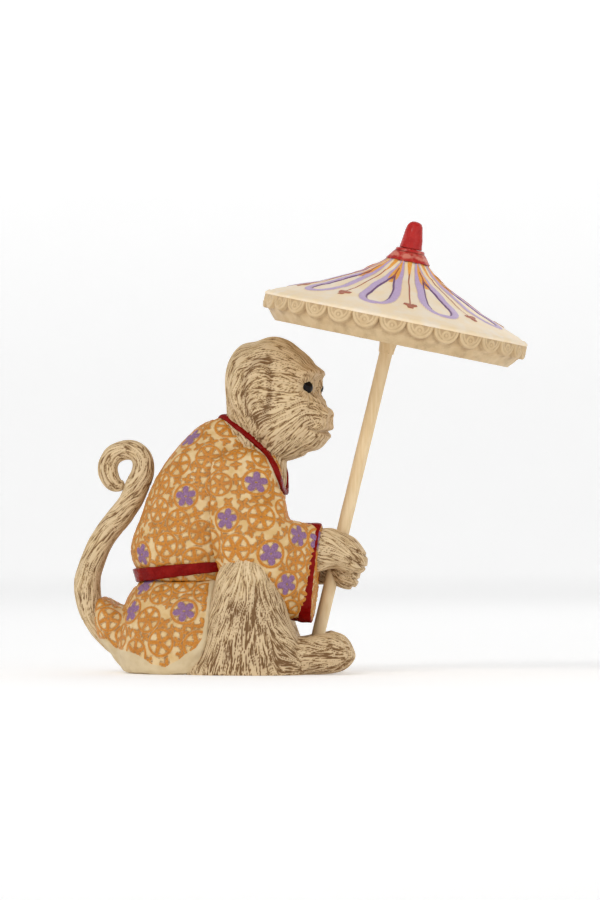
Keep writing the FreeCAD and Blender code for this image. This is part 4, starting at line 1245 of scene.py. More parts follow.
def finish_head():
    """Bring the face to its profile, model it, open it for the eyes and comb it."""
    casting = recast("head", smoothing=11)
    under_collar(casting, full=5.0, reach=10.0)
    match_profile(casting)
    forms = head_forms(casting.points)
    casting.raise_by(forms)
    local = in_head(casting.points)
    seen = np.stack([local[:, 0], local[:, 2], np.zeros(len(local))], axis=1)
    away, _ = along_line(seen, [(forward, up, 0) for forward, up in MOUTH_LINE])
    around = eased(15.5 - np.abs(local[:, 1]), 0, 3) * eased(local[:, 0], 14, 17)
    mouth = bell(away, 0.75) * around
    lips = bell(away - 2.1, 1.2) * around
    casting.raise_by(-1.7 * mouth + 0.5 * lips)
    casting.smooth(1)
    lids = open_eyes(casting)
    local = in_head(casting.points)
    forward, aside, up = local[:, 0], np.abs(local[:, 1]), local[:, 2]
    muzzle = bell(np.hypot(np.hypot((forward - 27) / 7.0, aside / 10), (up - 120) / 10.0), 1.0)
    brow = bell(np.hypot((forward - 21) / 8, (up - 144) / 6.5), 1.0)
    bare = np.clip(muzzle * 0.9 + lids, 0, 1)
    # painted shade: a darker ring round each ear; the wash mask also grows darker in the hollows of the face
    # and along the mouth
    shade = 0.6 * bell(from_ear(forward, up) - 1.25, 0.3) * (aside > 11)
    patches = np.clip(noise_at(casting.points, 13.0, 51) * 0.35, 0, 1)
    sunken = np.clip((casting.calm(forms, 6) - forms) * 0.5, 0, 0.6)
    wash = np.clip(0.25 + shade + patches + sunken + 0.75 * mouth, 0, 1)
    rosy = np.clip(0.7 * brow + 0.6 * muzzle + 0.3 * (up > 150) * eased(forward, 0, 12), 0, 1)
    depth = (1 - 0.7 * bare) * (1 - 0.8 * mouth)
    comb(casting, mirrored_strokes(HEAD_STROKES, 17.0), 21, depth, wash, rosy)
    add_casting(casting, "head", "monkey", "fur", "fur")


def finish_eye(node):
    """A smooth black bead, set where its lids open."""
    casting = recast(node, smoothing=4, swell=0.1 * MM)
    low, high = box_mm(node)
    middle = (low + high) / 2
    side = 1 if node == "left_eye" else -1
    away = casting.points - middle
    away *= EYE_RADIUS / np.linalg.norm(away, axis=1).max()
    casting.points = head_point(EYE_FORWARD, side * EYE_ASIDE, EYE_UP) + away
    casting.store()
    add_piece(node + "_finish", casting.mesh, "monkey", "eye", "eye", node)


# where the hair of a leg parts, from the leg's rear end and from the middle plane
FAN_BACK, FAN_ASIDE = 33.0, 29.0


def leg_strokes(low, high, side):
    """Fan from the knee down and outwards, then along the foot to the toes."""
    knee = np.array([low[0] + FAN_BACK, side * FAN_ASIDE, high[2]])
    strokes = []
    for across, up in ((6, 44), (20, 46), (33, 47), (2, 30), (16, 30), (30, 30), (42, 33), (-2, 14),
                       (12, 12), (26, 12), (38, 16), (4, 2), (20, 2), (36, 3)):
        for aside in (12.0, 46.0):
            place = np.array([low[0] + across, side * aside, float(up)])
            way = place - knee
            way[1] = 0.0
            way[2] -= 6.0
            strokes.append((place, way))
    for across, up in ((48, 18), (56, 14), (64, 13), (72, 12), (78, 8), (50, 4), (62, 3), (72, 3)):
        for aside in (14.0, 34.0):
            strokes.append((np.array([low[0] + across, side * aside, float(up)]),
                            np.array([1.0, 0.0, -0.12 if up > 4 else 0.05])))
    return strokes


# middle of the knee from the leg's rear end and from the middle plane, and how far it is drawn up and out
KNEE_BACK, KNEE_ASIDE = 29.0, 30.0
KNEE_RISE, KNEE_OUT = 5.2, 3.0
TOE_WIDTH = 4.6
TOES_ASIDE = 19.0
FINGER_WIDTH = 4.9
FLOOR_CLEARANCE = 0.02


def finish_leg(node, side, seed):
    """Toes, knuckles and knee, then the hair."""
    casting = recast(node, smoothing=12)
    low, high = box_mm(node)
    points = casting.points
    tip = high[0]
    ahead = eased(points[:, 0], tip - 10.0, tip - 5.0)
    level = points[:, 2]
    toes = np.cos((points[:, 1] - side * TOES_ASIDE) * 2 * math.pi / TOE_WIDTH)
    casting.raise_by(-0.9 * ahead * eased(-toes, 0.2, 1.0) * eased(level, 0.5, 3.0))
    knuckle = bell(points[:, 0] - (tip - 9.5), 1.6) * eased(level, 6, 10)
    casting.raise_by(0.45 * knuckle)
    rest = noise_at(points, 15.0, seed + 3)
    casting.raise_by(0.55 * rest * eased(level, 1.0, 6.0))
    knee = np.hypot((points[:, 0] - low[0] - KNEE_BACK) / 12.0, (points[:, 1] - side * KNEE_ASIDE) / 14.0)
    risen = bell(knee, 1.0) * eased(level, 32, 48)
    casting.points[:, 2] += KNEE_RISE * risen
    casting.points[:, 1] += side * KNEE_OUT * risen
    casting.smooth(1)
    points = casting.points
    # wash mask on the leg: darker over the middle of the leg and low down, lighter over the knee
    middle = bell(np.hypot((points[:, 0] - low[0] - 36) / 17, (points[:, 2] - 24) / 13), 1.0)
    lower = bell(points[:, 2] - 6, 7) * 0.35
    patch = np.clip(noise_at(points, 10.0, seed + 4) * 0.45 + 0.05, 0, 1)
    wash = np.clip(0.18 + 0.62 * middle + lower + patch - 0.4 * eased(points[:, 2], 38, 50), 0, 1)
    comb(casting, leg_strokes(low, high, side), seed, 1 - 0.5 * ahead, wash, 0.1)
    keep_over_floor(casting)
    add_casting(casting, node, "monkey", "fur", "fur")


def keep_over_floor(casting):
    """Nothing dips under the floor that the figurine stands on."""
    casting.points[:, 2] = np.maximum(casting.points[:, 2], FLOOR_CLEARANCE)


def finish_hand(node, seed, finger_angle):
    """Fingers curl round the pole, parted by shallow furrows."""
    casting = recast(node, smoothing=11)
    low, high = box_mm(node)
    points = casting.points
    middle = (low + high) / 2
    front = eased(points[:, 0], middle[0] + 1.0, middle[0] + 7.0)
    across = ((points[:, 2] - middle[2]) * math.cos(finger_angle)
              - (points[:, 0] - middle[0]) * math.sin(finger_angle))
    furrow = eased(np.cos(across * 2 * math.pi / FINGER_WIDTH), 0.55, 1.0)
    casting.raise_by(-1.0 * furrow * front)
    casting.raise_by(0.5 * noise_at(points, 8.0, seed + 3))
    casting.smooth(1)
    points = casting.points
    strokes = []
    for across in (-12, -4, 4, 12):
        for up in (-8, 0, 8):
            for aside in (low[1], high[1]):
                droop = -0.25 - 0.75 * max(0.0, across) / 12.0
                strokes.append((np.array([middle[0] + across, aside, middle[2] + up]),
                                np.array([1.0, 0.0, droop])))
    wash = np.clip(0.28 + 0.35 * noise_at(points, 6.0, seed + 4) + 0.45 * furrow * front, 0, 1)
    comb(casting, strokes, seed, 1 - 0.45 * front, wash, 0.15)
    add_casting(casting, node, "monkey", "fur", "fur")


# lie of the hair on the tail: its own middle line, in pixels of the photograph, root to tip
TAIL_PIXELS = ((130, 655), (112, 642), (97, 625), (87, 605), (84, 580), (88, 555), (98, 535), (115, 515),
               (133, 497), (145, 478), (149, 463), (143, 450), (130, 444), (114, 447), (106, 458),
               (106, 470), (114, 479), (124, 480))
CURL_TOP = 112


def finish_tail():
    """A full end to the curl, then hair that slants round the tail."""
    casting = recast("tail", smoothing=11)
    points = casting.points
    path = np.array([((x - PIXEL_ORIGIN[0]) * PIXEL_MM / math.cos(VIEW_TURN), 0.0,
                      (PIXEL_ORIGIN[1] - y) * PIXEL_MM) for x, y in TAIL_PIXELS])
    tip, _ = along_line(points, path[-4:])
    knob = bell(tip, 6.0) * eased(CURL_TOP - points[:, 2], 6, 12)
    casting.raise_by(0.3 * noise_at(points, 9.0, 71) + 0.8 * knob)
    sideways = np.array((0.0, 1.0, 0.0))
    strokes = []
    for index in range(1, len(path) - 1):
        way = path[index + 1] - path[index - 1]
        way /= np.linalg.norm(way)
        for turn in range(6):
            bearing = turn * math.pi / 3
            aside = np.cross(way, sideways) * math.cos(bearing) + sideways * math.sin(bearing)
            slant = np.cross(way, aside) * 0.28
            strokes.append((path[index] + aside * 5.0, way + slant))
    wash = np.clip(0.18 + 0.35 * noise_at(points, 11.0, 72), 0, 1)
    comb(casting, strokes, 73, 1.0, wash, 0.05, spread=3.0, jitter=0.2)
    keep_over_floor(casting)
    add_casting(casting, "tail", "monkey", "fur", "fur")


def finish_seat():
    """A plain slab, a little uneven."""
    casting = recast("seat_base", smoothing=14)
    points = casting.points
    casting.raise_by(0.22 * noise_at(points, 5.0, 81) + 0.1 * noise_at(points, 1.6, 82))
    keep_over_floor(casting)
    casting.store()
    add_piece("seat_base_finish", casting.mesh, "monkey", "fur", "underside", "seat_base")


# the parasol

# lengths along the pole and across the parasol, in millimetres
POLE_TOP = np.array(JOINTS["canopy_turn"]["pos_m"]) / MM
POLE_WAY = np.array(JOINTS["parasol_lift"]["axis"])
POLE_LEAN = math.atan2(POLE_WAY[0], POLE_WAY[2])
POLE_LENGTH = 178.0
POLE_RADIUS = 3.175
POLE_EDGE = 0.5
POLE_TO_CROWN = 22.0
FERRULE_LENGTH = 9.5
FERRULE_RADIUS = 4.7
FERRULE_FOOT = 153.8
CANOPY_LEAN = math.radians(11.6)
CROWN_HEIGHT = 28.5
RIM_RADIUS = 64.3
RIM_THICKNESS = 1.2
HUB_RADIUS = 7.0
HUB_BOTTOM = -7.9
HUB_BORE = 3.3
BORE_TOP = 6.4
SHELL = 3.0
BAND_HEIGHT = 7.4
BAND_STEP = 4.3
SKIRT_DROP = 11.5
SKIRT_TAPER = 2.6
VALANCE_WALL = 3.2
SCALLOP_PROUD = 0.9
# the canopy's slope from rim to crown: radius and height
SLOPE = ((64.3, 0.0), (62.5, 1.2), (59.0, 3.0), (49.0, 6.7), (40.0, 9.9), (34.0, 12.8), (28.0, 15.7),
         (21.0, 19.0), (15.0, 23.0), (11.0, 26.3), (9.4, 28.4))
CAMERA_SIDE = math.radians(VIEW_DEGREES - 90)
# spacing of the rings of each turned piece in millimetres, and the number of points round one
TURNED = {"canopy": (0.88, 450), "valance": (0.7, 600), "cap": (0.35, 220), "finial": (0.35, 120),
          "pole": (1.2, 72), "ferrule": (0.4, 120)}
# radius at which a petal begins and ends, and its greatest half width
PETAL = (8.0, 54.5, 13.2)
HEART = (9.0, 27.0, 3.6)
PETAL_BORDER = 3.5
LINE_INSIDE, LINE_WIDTH = 3.7, 0.55
STROKE_WIDTH = 0.42
# lobes at the end of a stem: radius and distance to the side of it
LOBES = ((47.4, -1.8), (47.4, 1.8), (50.2, 0.0))
LOBE_RADIUS = 1.75
# ridges that follow a scallop's edge: how far inside it, half width and height
SCALLOP_RIDGES = ((0.7, 0.6, 0.34), (2.4, 0.35, 0.22))
SCALLOP_RING_DROP, SCALLOP_RING_RADIUS = 2.7, 1.75
CAP_HEIGHT = 5.0


def canopy_origin():
    """Middle of the canopy's rim plane."""
    crown = POLE_TOP + POLE_WAY * POLE_TO_CROWN
    return crown - np.array((math.sin(CANOPY_LEAN), 0.0, math.cos(CANOPY_LEAN))) * CROWN_HEIGHT


def placed(points, origin, lean):
    """Points turned forward by lean about Y, then moved to origin."""
    cos, sin = math.cos(lean), math.sin(lean)
    out = np.empty_like(points)
    out[:, 0] = points[:, 0] * cos + points[:, 2] * sin
    out[:, 1] = points[:, 1]
    out[:, 2] = points[:, 2] * cos - points[:, 0] * sin
    return out + origin


def refined(profile, spacing):
    """Profile points with others between them, no further apart than spacing."""
    points = [np.array(profile[0], dtype=float)]
    for start, end in zip(profile, profile[1:]):
        start, end = np.array(start, dtype=float), np.array(end, dtype=float)
        parts = max(1, int(math.ceil(np.linalg.norm(end - start) / spacing)))
        points.extend(start + (end - start) * step / parts for step in range(1, parts + 1))
    return np.array(points)


class Turning:
    """A closed solid of revolution: rings of points from a profile of radii and heights."""

    def __init__(self, profile, spacing, segments, closed_ring=False):
        """The profile runs from axis to axis, or closes on itself round a bore."""
        rows = refined(list(profile) + ([profile[0]] if closed_ring else []), spacing)
        self.closed_ring = closed_ring
        if closed_ring:
            rows = rows[:-1]
        else:
            self.caps = (rows[0][1], rows[-1][1])
            rows = rows[1:-1]
        self.rows = rows
        self.segments = segments
        self.bearing = np.arange(segments) * 2 * math.pi / segments
        before, after = np.roll(rows, 1, axis=0), np.roll(rows, -1, axis=0)
        if not closed_ring:
            before[0], after[-1] = rows[0], rows[-1]
        way = after - before
        way /= np.maximum(np.linalg.norm(way, axis=1, keepdims=True), 1e-9)
        self.out = np.stack([way[:, 1], -way[:, 0]], axis=1)
        count = len(rows)
        self.radius = np.repeat(rows[:, 0], segments)
        self.height = np.repeat(rows[:, 1], segments)
        self.angle = np.tile(self.bearing, count)
        self.out_radius = np.repeat(self.out[:, 0], segments)
        self.out_height = np.repeat(self.out[:, 1], segments)
        self.masks = {}

    def flat(self):
        """Points before anything is raised."""
        return np.stack([self.radius * np.cos(self.angle), self.radius * np.sin(self.angle), self.height],
                        axis=1)

    def raise_by(self, amount):
        """Move every point out, square to the profile."""
        self.radius = np.maximum(self.radius + self.out_radius * amount, 0.01)
        self.height = self.height + self.out_height * amount

    def mesh(self, name, origin, lean):
        """The mesh in its place, with outward faces."""
        rings, around = len(self.rows), self.segments
        points = self.flat()
        first = np.arange(around)
        second = np.roll(first, -1)
        faces = []
        last = rings if self.closed_ring else rings - 1
        for ring in range(last):
            low, high = ring * around, (ring + 1) % rings * around
            faces.extend(zip(low + first, low + second, high + second, high + first))
        if not self.closed_ring:
            ends = np.array([[0, 0, self.caps[0]], [0, 0, self.caps[1]]], dtype=float)
            points = np.concatenate([points, ends])
            low, high = rings * around, rings * around + 1
            faces.extend(zip(second, first, np.full(around, low)))
            top = (rings - 1) * around
            faces.extend(zip(top + first, top + second, np.full(around, high)))
        mesh = bpy.data.meshes.new(name)
        points = placed(points, origin, lean)
        mesh.from_pydata((points * MM).tolist(), [], [tuple(int(i) for i in face) for face in faces])
        missing = len(points) - rings * around
        write_masks(mesh, {key: np.pad(values, (0, missing)) for key, values in self.masks.items()})
        outward(mesh)
        return mesh


def outward(mesh):
    """Closed faces pointing outwards, shaded smooth up to a sharp corner."""
    with edited(mesh) as edit:
        bmesh.ops.recalc_face_normals(edit, faces=edit.faces)
    shade_smooth(mesh)
    mesh.set_sharp_from_angle(angle=SHARP_EDGE)


def petal_width(radius, begin, end, width):
    """Half width of a petal whose tip is round."""
    share = np.clip((radius - begin) / (end - begin), 0, 1)
    return width * share ** 0.9 * np.sqrt(np.maximum(1 - share ** 5, 0))


def petal_depth(radius, aside, begin, end, width):
    """How far inside a petal's edge a point lies, about square to the edge."""
    here = petal_width(radius, begin, end, width)
    further = petal_width(radius + 0.2, begin, end, width)
    slope = (further - petal_width(radius - 0.2, begin, end, width)) / 0.4
    inside = (here - np.abs(aside)) / np.sqrt(1 + slope ** 2)
    return np.minimum(inside, (end - radius))


def canopy_masks(shell):
    """Painted petals, hearts and stamens on the upper side."""
    props = bpy.context.scene.figurine_canopy
    pitch = 2 * math.pi / props.petals
    flat = shell.flat()
    waver = 0.5 * noise_at(flat, 9.0, 91)
    upper = (shell.out_height > 0.3) & (shell.height > -0.4) & (shell.radius > 8.5)
    radius = shell.radius
    bearing = shell.angle - CAMERA_SIDE - props.petal_turn
    off = (bearing + pitch / 2) % pitch - pitch / 2
    aside = radius * np.sin(off) + waver
    depth = petal_depth(radius, aside, *PETAL)
    petal = eased(depth, -0.15, 0.15) * upper
    lilac = petal * eased(PETAL_BORDER - depth, -0.1, 0.2)
    line = bell(depth - LINE_INSIDE, LINE_WIDTH) * (depth > 2) * (radius > 14) * upper
    heart = petal_depth(radius, aside, *HEART)
    orange = eased(heart, 0.0, 0.3) * upper
    vein = bell(aside, STROKE_WIDTH) * eased(radius, 13, 16) * eased(25.5 - radius, 0, 2) * upper
    between = (bearing + pitch) % pitch - pitch / 2
    beside = radius * np.sin(between) + waver * 0.6
    stem = bell(beside, STROKE_WIDTH) * eased(radius, 15, 19) * eased(47.5 - radius, 0, 1)
    for reach, shift in LOBES:
        lobe = np.hypot(radius - reach, beside - shift)
        stem = np.maximum(stem, eased(LOBE_RADIUS - lobe, -0.2, 0.3))
    wedge = eased(1.3 - np.abs(beside) - (radius - 10) * 0.1, -0.2, 0.3) * (radius < 19)
    outside = 1 - petal
    orange = np.clip(np.maximum(orange, wedge * 0.9 * outside * upper), 0, 1)
    brown = np.clip(np.where(petal > 0.5, vein, stem * outside) * upper, 0, 1)
    height = 0.42 * lilac - 0.28 * line + 0.25 * orange + 0.5 * brown
    height += 0.12 * noise_at(flat, 6.0, 92) * upper + 0.05 * noise_at(flat, 1.8, 93)
    shell.raise_by(height - 0.45 * upper * (shell.radius < 62))
    edge = bell(depth, 0.45) * upper + bell(depth - 4.2, 0.5) * upper * 0.6
    shell.masks["lilac"] = np.clip(lilac - line, 0, 1)
    shell.masks["line"] = np.clip(line, 0, 1)
    shell.masks["orange"] = orange * (1 - np.clip(line, 0, 1))
    shell.masks["brown"] = brown
    shell.masks["cavity"] = np.clip(edge + 0.3 * noise_at(flat, 5.0, 94), 0, 1)


def finish_canopy():
    """The shell with its hub, moulded and painted on its upper side."""
    hub_root = CROWN_HEIGHT * 0.72 - SHELL
    inner = [(RIM_RADIUS - BAND_STEP - VALANCE_WALL, -RIM_THICKNESS), (48.0, 3.2), (33.0, 9.4), (20.0, 15.6),
             (HUB_RADIUS, hub_root)]
    profile = [(0.0, BORE_TOP), (HUB_BORE, BORE_TOP), (HUB_BORE, HUB_BOTTOM), (HUB_RADIUS, HUB_BOTTOM)]
    profile += inner[::-1] + [(RIM_RADIUS - 0.5, -RIM_THICKNESS), (RIM_RADIUS - 0.1, -RIM_THICKNESS * 0.5)]
    profile += [(RIM_RADIUS - 0.2, -0.1)] + list(SLOPE[1:]) + [(0.0, CROWN_HEIGHT)]
    shell = Turning(profile, *TURNED["canopy"])
    canopy_masks(shell)
    mesh = shell.mesh("canopy", canopy_origin(), CANOPY_LEAN)
    add_piece("canopy_top_finish", mesh, "parasol_top", "canopy", "canopy", "canopy_top")


def scallop_mesh():
    """One half round with its rim, an arc inside it, and a small ring with a dot."""
    reach = bpy.context.scene.figurine_canopy.scallop_radius / MM
    rows, columns = 18, 34
    face = RIM_RADIUS
    points, hollow = [], []
    for row in range(rows + 1):
        radius = reach * row / rows
        for column in range(columns + 1):
            bearing = math.pi + math.pi * column / columns
            aside, drop = radius * math.cos(bearing), radius * math.sin(bearing)
            ring = math.hypot(aside, drop + SCALLOP_RING_DROP)
            rise = sum(height * bell(radius - reach + inside, width)
                       for inside, width, height in SCALLOP_RIDGES)
            rise += 0.42 * bell(ring - SCALLOP_RING_RADIUS, 0.42) + 0.36 * bell(ring, 0.55)
            rounding = 0.42 * max(0.0, (radius / reach - 0.9) / 0.1) ** 2
            depth = face - 0.62 + rise - rounding
            points.append((math.sqrt(depth ** 2 - aside ** 2), aside, drop - RIM_THICKNESS))
            hollow.append(max(0.0, 0.72 - rise * 2.4))
    front = len(points)
    for point in list(points):
        points.append((math.sqrt((face - BAND_STEP) ** 2 - point[1] ** 2), point[1], point[2]))
        hollow.append(0.3)
    faces = []
    across = columns + 1
    for row in range(rows):
        for column in range(columns):
            a = row * across + column
            quad = (a, a + 1, a + 1 + across, a + across)
            faces.append(quad)
            faces.append(tuple(front + index for index in reversed(quad)))
    edge = [rows * across + column for column in range(across)]
    left = [row * across for row in range(rows, -1, -1)]
    right = [row * across + columns for row in range(rows + 1)]
    for border in (edge, left, right):
        for a, b in zip(border, border[1:]):
            faces.append((a, b, front + b, front + a))
    mesh = bpy.data.meshes.new("scallop")
    mesh.from_pydata([tuple(value * MM for value in point) for point in points], [], faces)
    write_masks(mesh, {"cavity": hollow, "worn": [0.2] * len(hollow)})
    with edited(mesh) as edit:
        bmesh.ops.remove_doubles(edit, verts=edit.verts, dist=0.01 * MM)
    outward(mesh)
    return mesh


def ring_tree():
    """Geometry nodes that set copies of a mesh round the Z axis."""
    tree = bpy.data.node_groups.new("ring_of_scallops", "GeometryNodeTree")
    face = tree.interface
    face.new_socket("Geometry", in_out="INPUT", socket_type="NodeSocketGeometry")
    face.new_socket("Count", in_out="INPUT", socket_type="NodeSocketInt")
    face.new_socket("Paint", in_out="INPUT", socket_type="NodeSocketMaterial")
    face.new_socket("Geometry", in_out="OUTPUT", socket_type="NodeSocketGeometry")
    nodes = tree.nodes
    given, result = nodes.new("NodeGroupInput"), nodes.new("NodeGroupOutput")
    dots = nodes.new("GeometryNodePoints")
    number = nodes.new("GeometryNodeInputIndex")
    pitch = nodes.new("ShaderNodeMath")
    pitch.operation = "DIVIDE"
    pitch.inputs[0].default_value = 2 * math.pi
    turn = nodes.new("ShaderNodeMath")
    turn.operation = "MULTIPLY"
    about = nodes.new("ShaderNodeCombineXYZ")
    copies = nodes.new("GeometryNodeInstanceOnPoints")
    real = nodes.new("GeometryNodeRealizeInstances")
    paint = nodes.new("GeometryNodeSetMaterial")
    for start, output, end, socket in (
            (given, "Count", dots, "Count"), (given, "Count", pitch, 1), (pitch, 0, turn, 0),
            (number, 0, turn, 1), (turn, 0, about, "Z"), (dots, 0, copies, "Points"),
            (given, "Geometry", copies, "Instance"), (about, 0, copies, "Rotation"), (copies, 0, real, 0),
            (real, 0, paint, "Geometry"), (given, "Paint", paint, "Material"), (paint, 0, result, 0)):
        tree.links.new(start.outputs[output], end.inputs[socket])
    return tree


def ring_of(mesh, count, material):
    """The copies as one plain mesh."""
    helper = bpy.data.objects.new("helper", mesh)
    bpy.context.scene.collection.objects.link(helper)
    ring = helper.modifiers.new("ring", "NODES")
    ring.node_group = ring_tree()
    inputs = {item.name: item.identifier for item in ring.node_group.interface.items_tree
              if item.in_out == "INPUT"}
    ring[inputs["Count"]] = count
    ring[inputs["Paint"]] = material
    result = bpy.data.meshes.new_from_object(helper.evaluated_get(bpy.context.evaluated_depsgraph_get()))
    bpy.data.objects.remove(helper)
    return result


def move_mesh(mesh, origin, lean):
    """Turn a mesh forward by lean and move it to origin."""
    flat = np.empty(len(mesh.vertices) * 3)
    mesh.vertices.foreach_get("co", flat)
    points = placed(flat.reshape(-1, 3) / MM, origin, lean)
    mesh.vertices.foreach_set("co", (points * MM).ravel())
    mesh.update()


def joined(first, second):
    """Both meshes in the first."""
    with edited(first) as edit:
        edit.from_mesh(second)
    return first


def finish_valance():
    """A stepped band with the scallops round it."""
    top = -RIM_THICKNESS
    step = top - BAND_HEIGHT
    bottom = top - SKIRT_DROP
    face = RIM_RADIUS - SCALLOP_PROUD
    waist = RIM_RADIUS - BAND_STEP
    hem = waist - SKIRT_TAPER
    inside = hem - VALANCE_WALL
    profile = [(waist - VALANCE_WALL, top), (inside, bottom + 0.4), (inside + 0.6, bottom),
               (hem - 0.6, bottom), (hem, bottom + 0.6), (waist - 0.4, step - 1.0), (waist + 0.5, step + 0.2),
               (face - 1.3, step + 1.4), (face - 0.4, step + 3.0), (face, step + 4.6), (face, top)]
    band = Turning(profile, *TURNED["valance"], closed_ring=True)
    flat = band.flat()
    props = bpy.context.scene.figurine_canopy
    pitch = 2 * math.pi / props.scallops
    aside = RIM_RADIUS * np.sin((band.angle + pitch / 2) % pitch - pitch / 2)
    beyond = np.hypot(aside, top - band.height) - props.scallop_radius / MM
    proud = band.radius - (face - 2.2)
    band.radius -= np.maximum(proud, 0) * eased(beyond, -0.6, 0.5) * eased(top - 0.8 - band.height, 0, 1.2)
    band.raise_by(0.1 * noise_at(flat, 5.0, 101) + 0.05 * noise_at(flat, 1.7, 102))
    low_edge = bell(band.height - bottom, 1.2) * (band.radius > hem - 1.2)
    # cavity: a wash all over, and painted shade on the band just under the edges of the scallops
    band.masks["cavity"] = np.clip(0.35 + 0.35 * noise_at(flat, 4.0, 103)
                                   + 0.3 * bell(beyond - 0.6, 0.9) * (band.radius > hem), 0, 1)
    band.masks["worn"] = np.clip(low_edge * 0.78 + 0.25 * noise_at(flat, 9.0, 104), 0, 1)
    mesh = band.mesh("valance", canopy_origin(), CANOPY_LEAN)
    ring = ring_of(scallop_mesh(), props.scallops, finish_of("valance"))
    move_mesh(ring, canopy_origin(), CANOPY_LEAN)
    mesh.materials.append(finish_of("valance"))
    add_piece("valance_finish", joined(mesh, ring), "parasol_top", "valance", "valance", "valance")


def finish_cap():
    """Red cap: a ragged skirt on the cone, a ridge, and a sloping neck."""
    slope = 0.62
    skirt, crown = 10.6, 9.4
    low = CROWN_HEIGHT - (skirt - crown) * 1.02
    top = CROWN_HEIGHT + CAP_HEIGHT
    profile = [(0.0, CROWN_HEIGHT + 0.05), (crown, CROWN_HEIGHT + 0.05), (skirt, low),
               (skirt + 0.1, low + 0.5), (skirt - 0.4, low + 1.0), (8.6, CROWN_HEIGHT + 1.9),
               (7.2, CROWN_HEIGHT + 3.6),
               (6.9, CROWN_HEIGHT + 4.7), (6.2, top), (0.0, top)]
    cap = Turning(profile, *TURNED["cap"])
    flat = cap.flat()
    outer = eased(cap.radius, 8.2, 10.4)
    ragged = 0.55 * noise_at(flat * (1, 1, 0.1), 3.2, 111) + 0.25 * np.cos(cap.angle * 9)
    cap.height = cap.height + outer * np.minimum(ragged, 0.3) * slope
    cap.radius = cap.radius - outer * np.abs(ragged) * slope
    cap.raise_by(0.1 * noise_at(flat, 2.4, 112) * (cap.height > CROWN_HEIGHT - 0.5))
    ridge = bell(cap.height - CROWN_HEIGHT - 1.2, 0.8)
    cap.masks["worn"] = np.clip(0.5 + 0.3 * ridge + 0.5 * noise_at(flat, 2.6, 113), 0, 1)
    groove = bell(cap.height - CROWN_HEIGHT - 3.4, 0.5)
    cap.masks["cavity"] = np.clip(groove + bell(cap.height - low, 0.5), 0, 1)
    mesh = cap.mesh("cap", canopy_origin(), CANOPY_LEAN)
    add_piece("finial_cap_finish", mesh, "parasol_top", "red_trim", "finial", "finial_cap")


def finish_finial():
    """The red knob, a little uneven."""
    foot = CROWN_HEIGHT + CAP_HEIGHT
    profile = [(0.0, foot + 0.02), (5.4, foot + 0.02), (5.62, foot + 0.5), (5.3, foot + 2.0),
               (4.9, foot + 5.0), (4.4, foot + 8.5), (3.75, foot + 11.3), (3.0, foot + 12.6),
               (1.9, foot + 13.3), (0.8, foot + 13.55), (0.0, foot + 13.58)]
    knob = Turning(profile, *TURNED["finial"])
    flat = knob.flat()
    knob.raise_by(0.16 * noise_at(flat, 4.5, 121) - 0.1)
    knob.masks["worn"] = np.clip(0.35 * noise_at(flat, 3.0, 122), 0, 1)
    knob.masks["cavity"] = np.clip(0.3 * noise_at(flat, 4.0, 123) + 0.9 * bell(knob.height - foot, 0.7), 0, 1)
    mesh = knob.mesh("finial", canopy_origin(), CANOPY_LEAN)
    add_piece("finial_finish", mesh, "parasol_top", "red_trim", "finial", "finial")


def finish_pole():
    """The rod and its tapered collar."""
    foot = POLE_TOP - POLE_WAY * POLE_LENGTH
    narrow = POLE_RADIUS - POLE_EDGE
    profile = [(0.0, 0.0), (narrow, 0.0), (POLE_RADIUS, POLE_EDGE), (POLE_RADIUS, POLE_LENGTH - POLE_EDGE),
               (narrow, POLE_LENGTH), (0.0, POLE_LENGTH)]
    rod = Turning(profile, *TURNED["pole"])
    flat = rod.flat()
    rod.raise_by(0.05 * noise_at(flat * (1, 1, 0.2), 2.2, 131) - 0.03)
    rod.masks["worn"] = np.clip(0.25 * noise_at(flat, 5.0, 132), 0, 1)
    mesh = rod.mesh("pole", foot, POLE_LEAN)
    add_piece("pole_finish", mesh, "parasol_mast", "cream_pole", "pole", "pole")
    bore = POLE_RADIUS + 0.02
    profile = [(bore, 0.0), (bore + 0.45, 0.0), (4.1, FERRULE_LENGTH * 0.45),
               (FERRULE_RADIUS - 0.15, FERRULE_LENGTH * 0.8), (FERRULE_RADIUS - 0.1, FERRULE_LENGTH - 0.4),
               (FERRULE_RADIUS - 0.5, FERRULE_LENGTH), (bore, FERRULE_LENGTH)]
    collar = Turning(profile, *TURNED["ferrule"], closed_ring=True)
    flat = collar.flat()
    outer = collar.radius > bore + 0.3
    collar.raise_by(0.1 * noise_at(flat, 2.0, 133) * outer)
    collar.masks["worn"] = np.clip(0.3 + 0.85 * noise_at(flat, 2.2, 134), 0, 1)
    place = foot + POLE_WAY * FERRULE_FOOT
    mesh = collar.mesh("ferrule", place, POLE_LEAN)
    add_piece("ferrule_finish", mesh, "parasol_mast", "cream_pole", "pole", "ferrule")


# the studio

# each lamp's name, place and width in metres, power in watts and colour
LAMPS = (("key", (-0.5, -1.3, 1.4), 0.7, 8.0, (1.0, 0.98, 0.95)),
         ("fill", (1.4, -1.0, 0.7), 1.2, 1.5, (0.97, 0.98, 1.0)),
         ("back", (0.3, 1.5, 1.3), 1.2, 3.0, (1.0, 1.0, 1.0)))


def add_light(name, place, target, size, power, colour):
    """A round lamp that faces its target."""
    light = bpy.data.lights.new(name, "AREA")
    light.shape = "DISK"
    light.size = size
    light.energy = power
    light.color = colour
    lamp = bpy.data.objects.new(name, light)
    lamp.location = place
    lamp.rotation_euler = (Vector(target) - Vector(place)).to_track_quat("-Z", "Y").to_euler()
    bpy.context.scene.collection.objects.link(lamp)


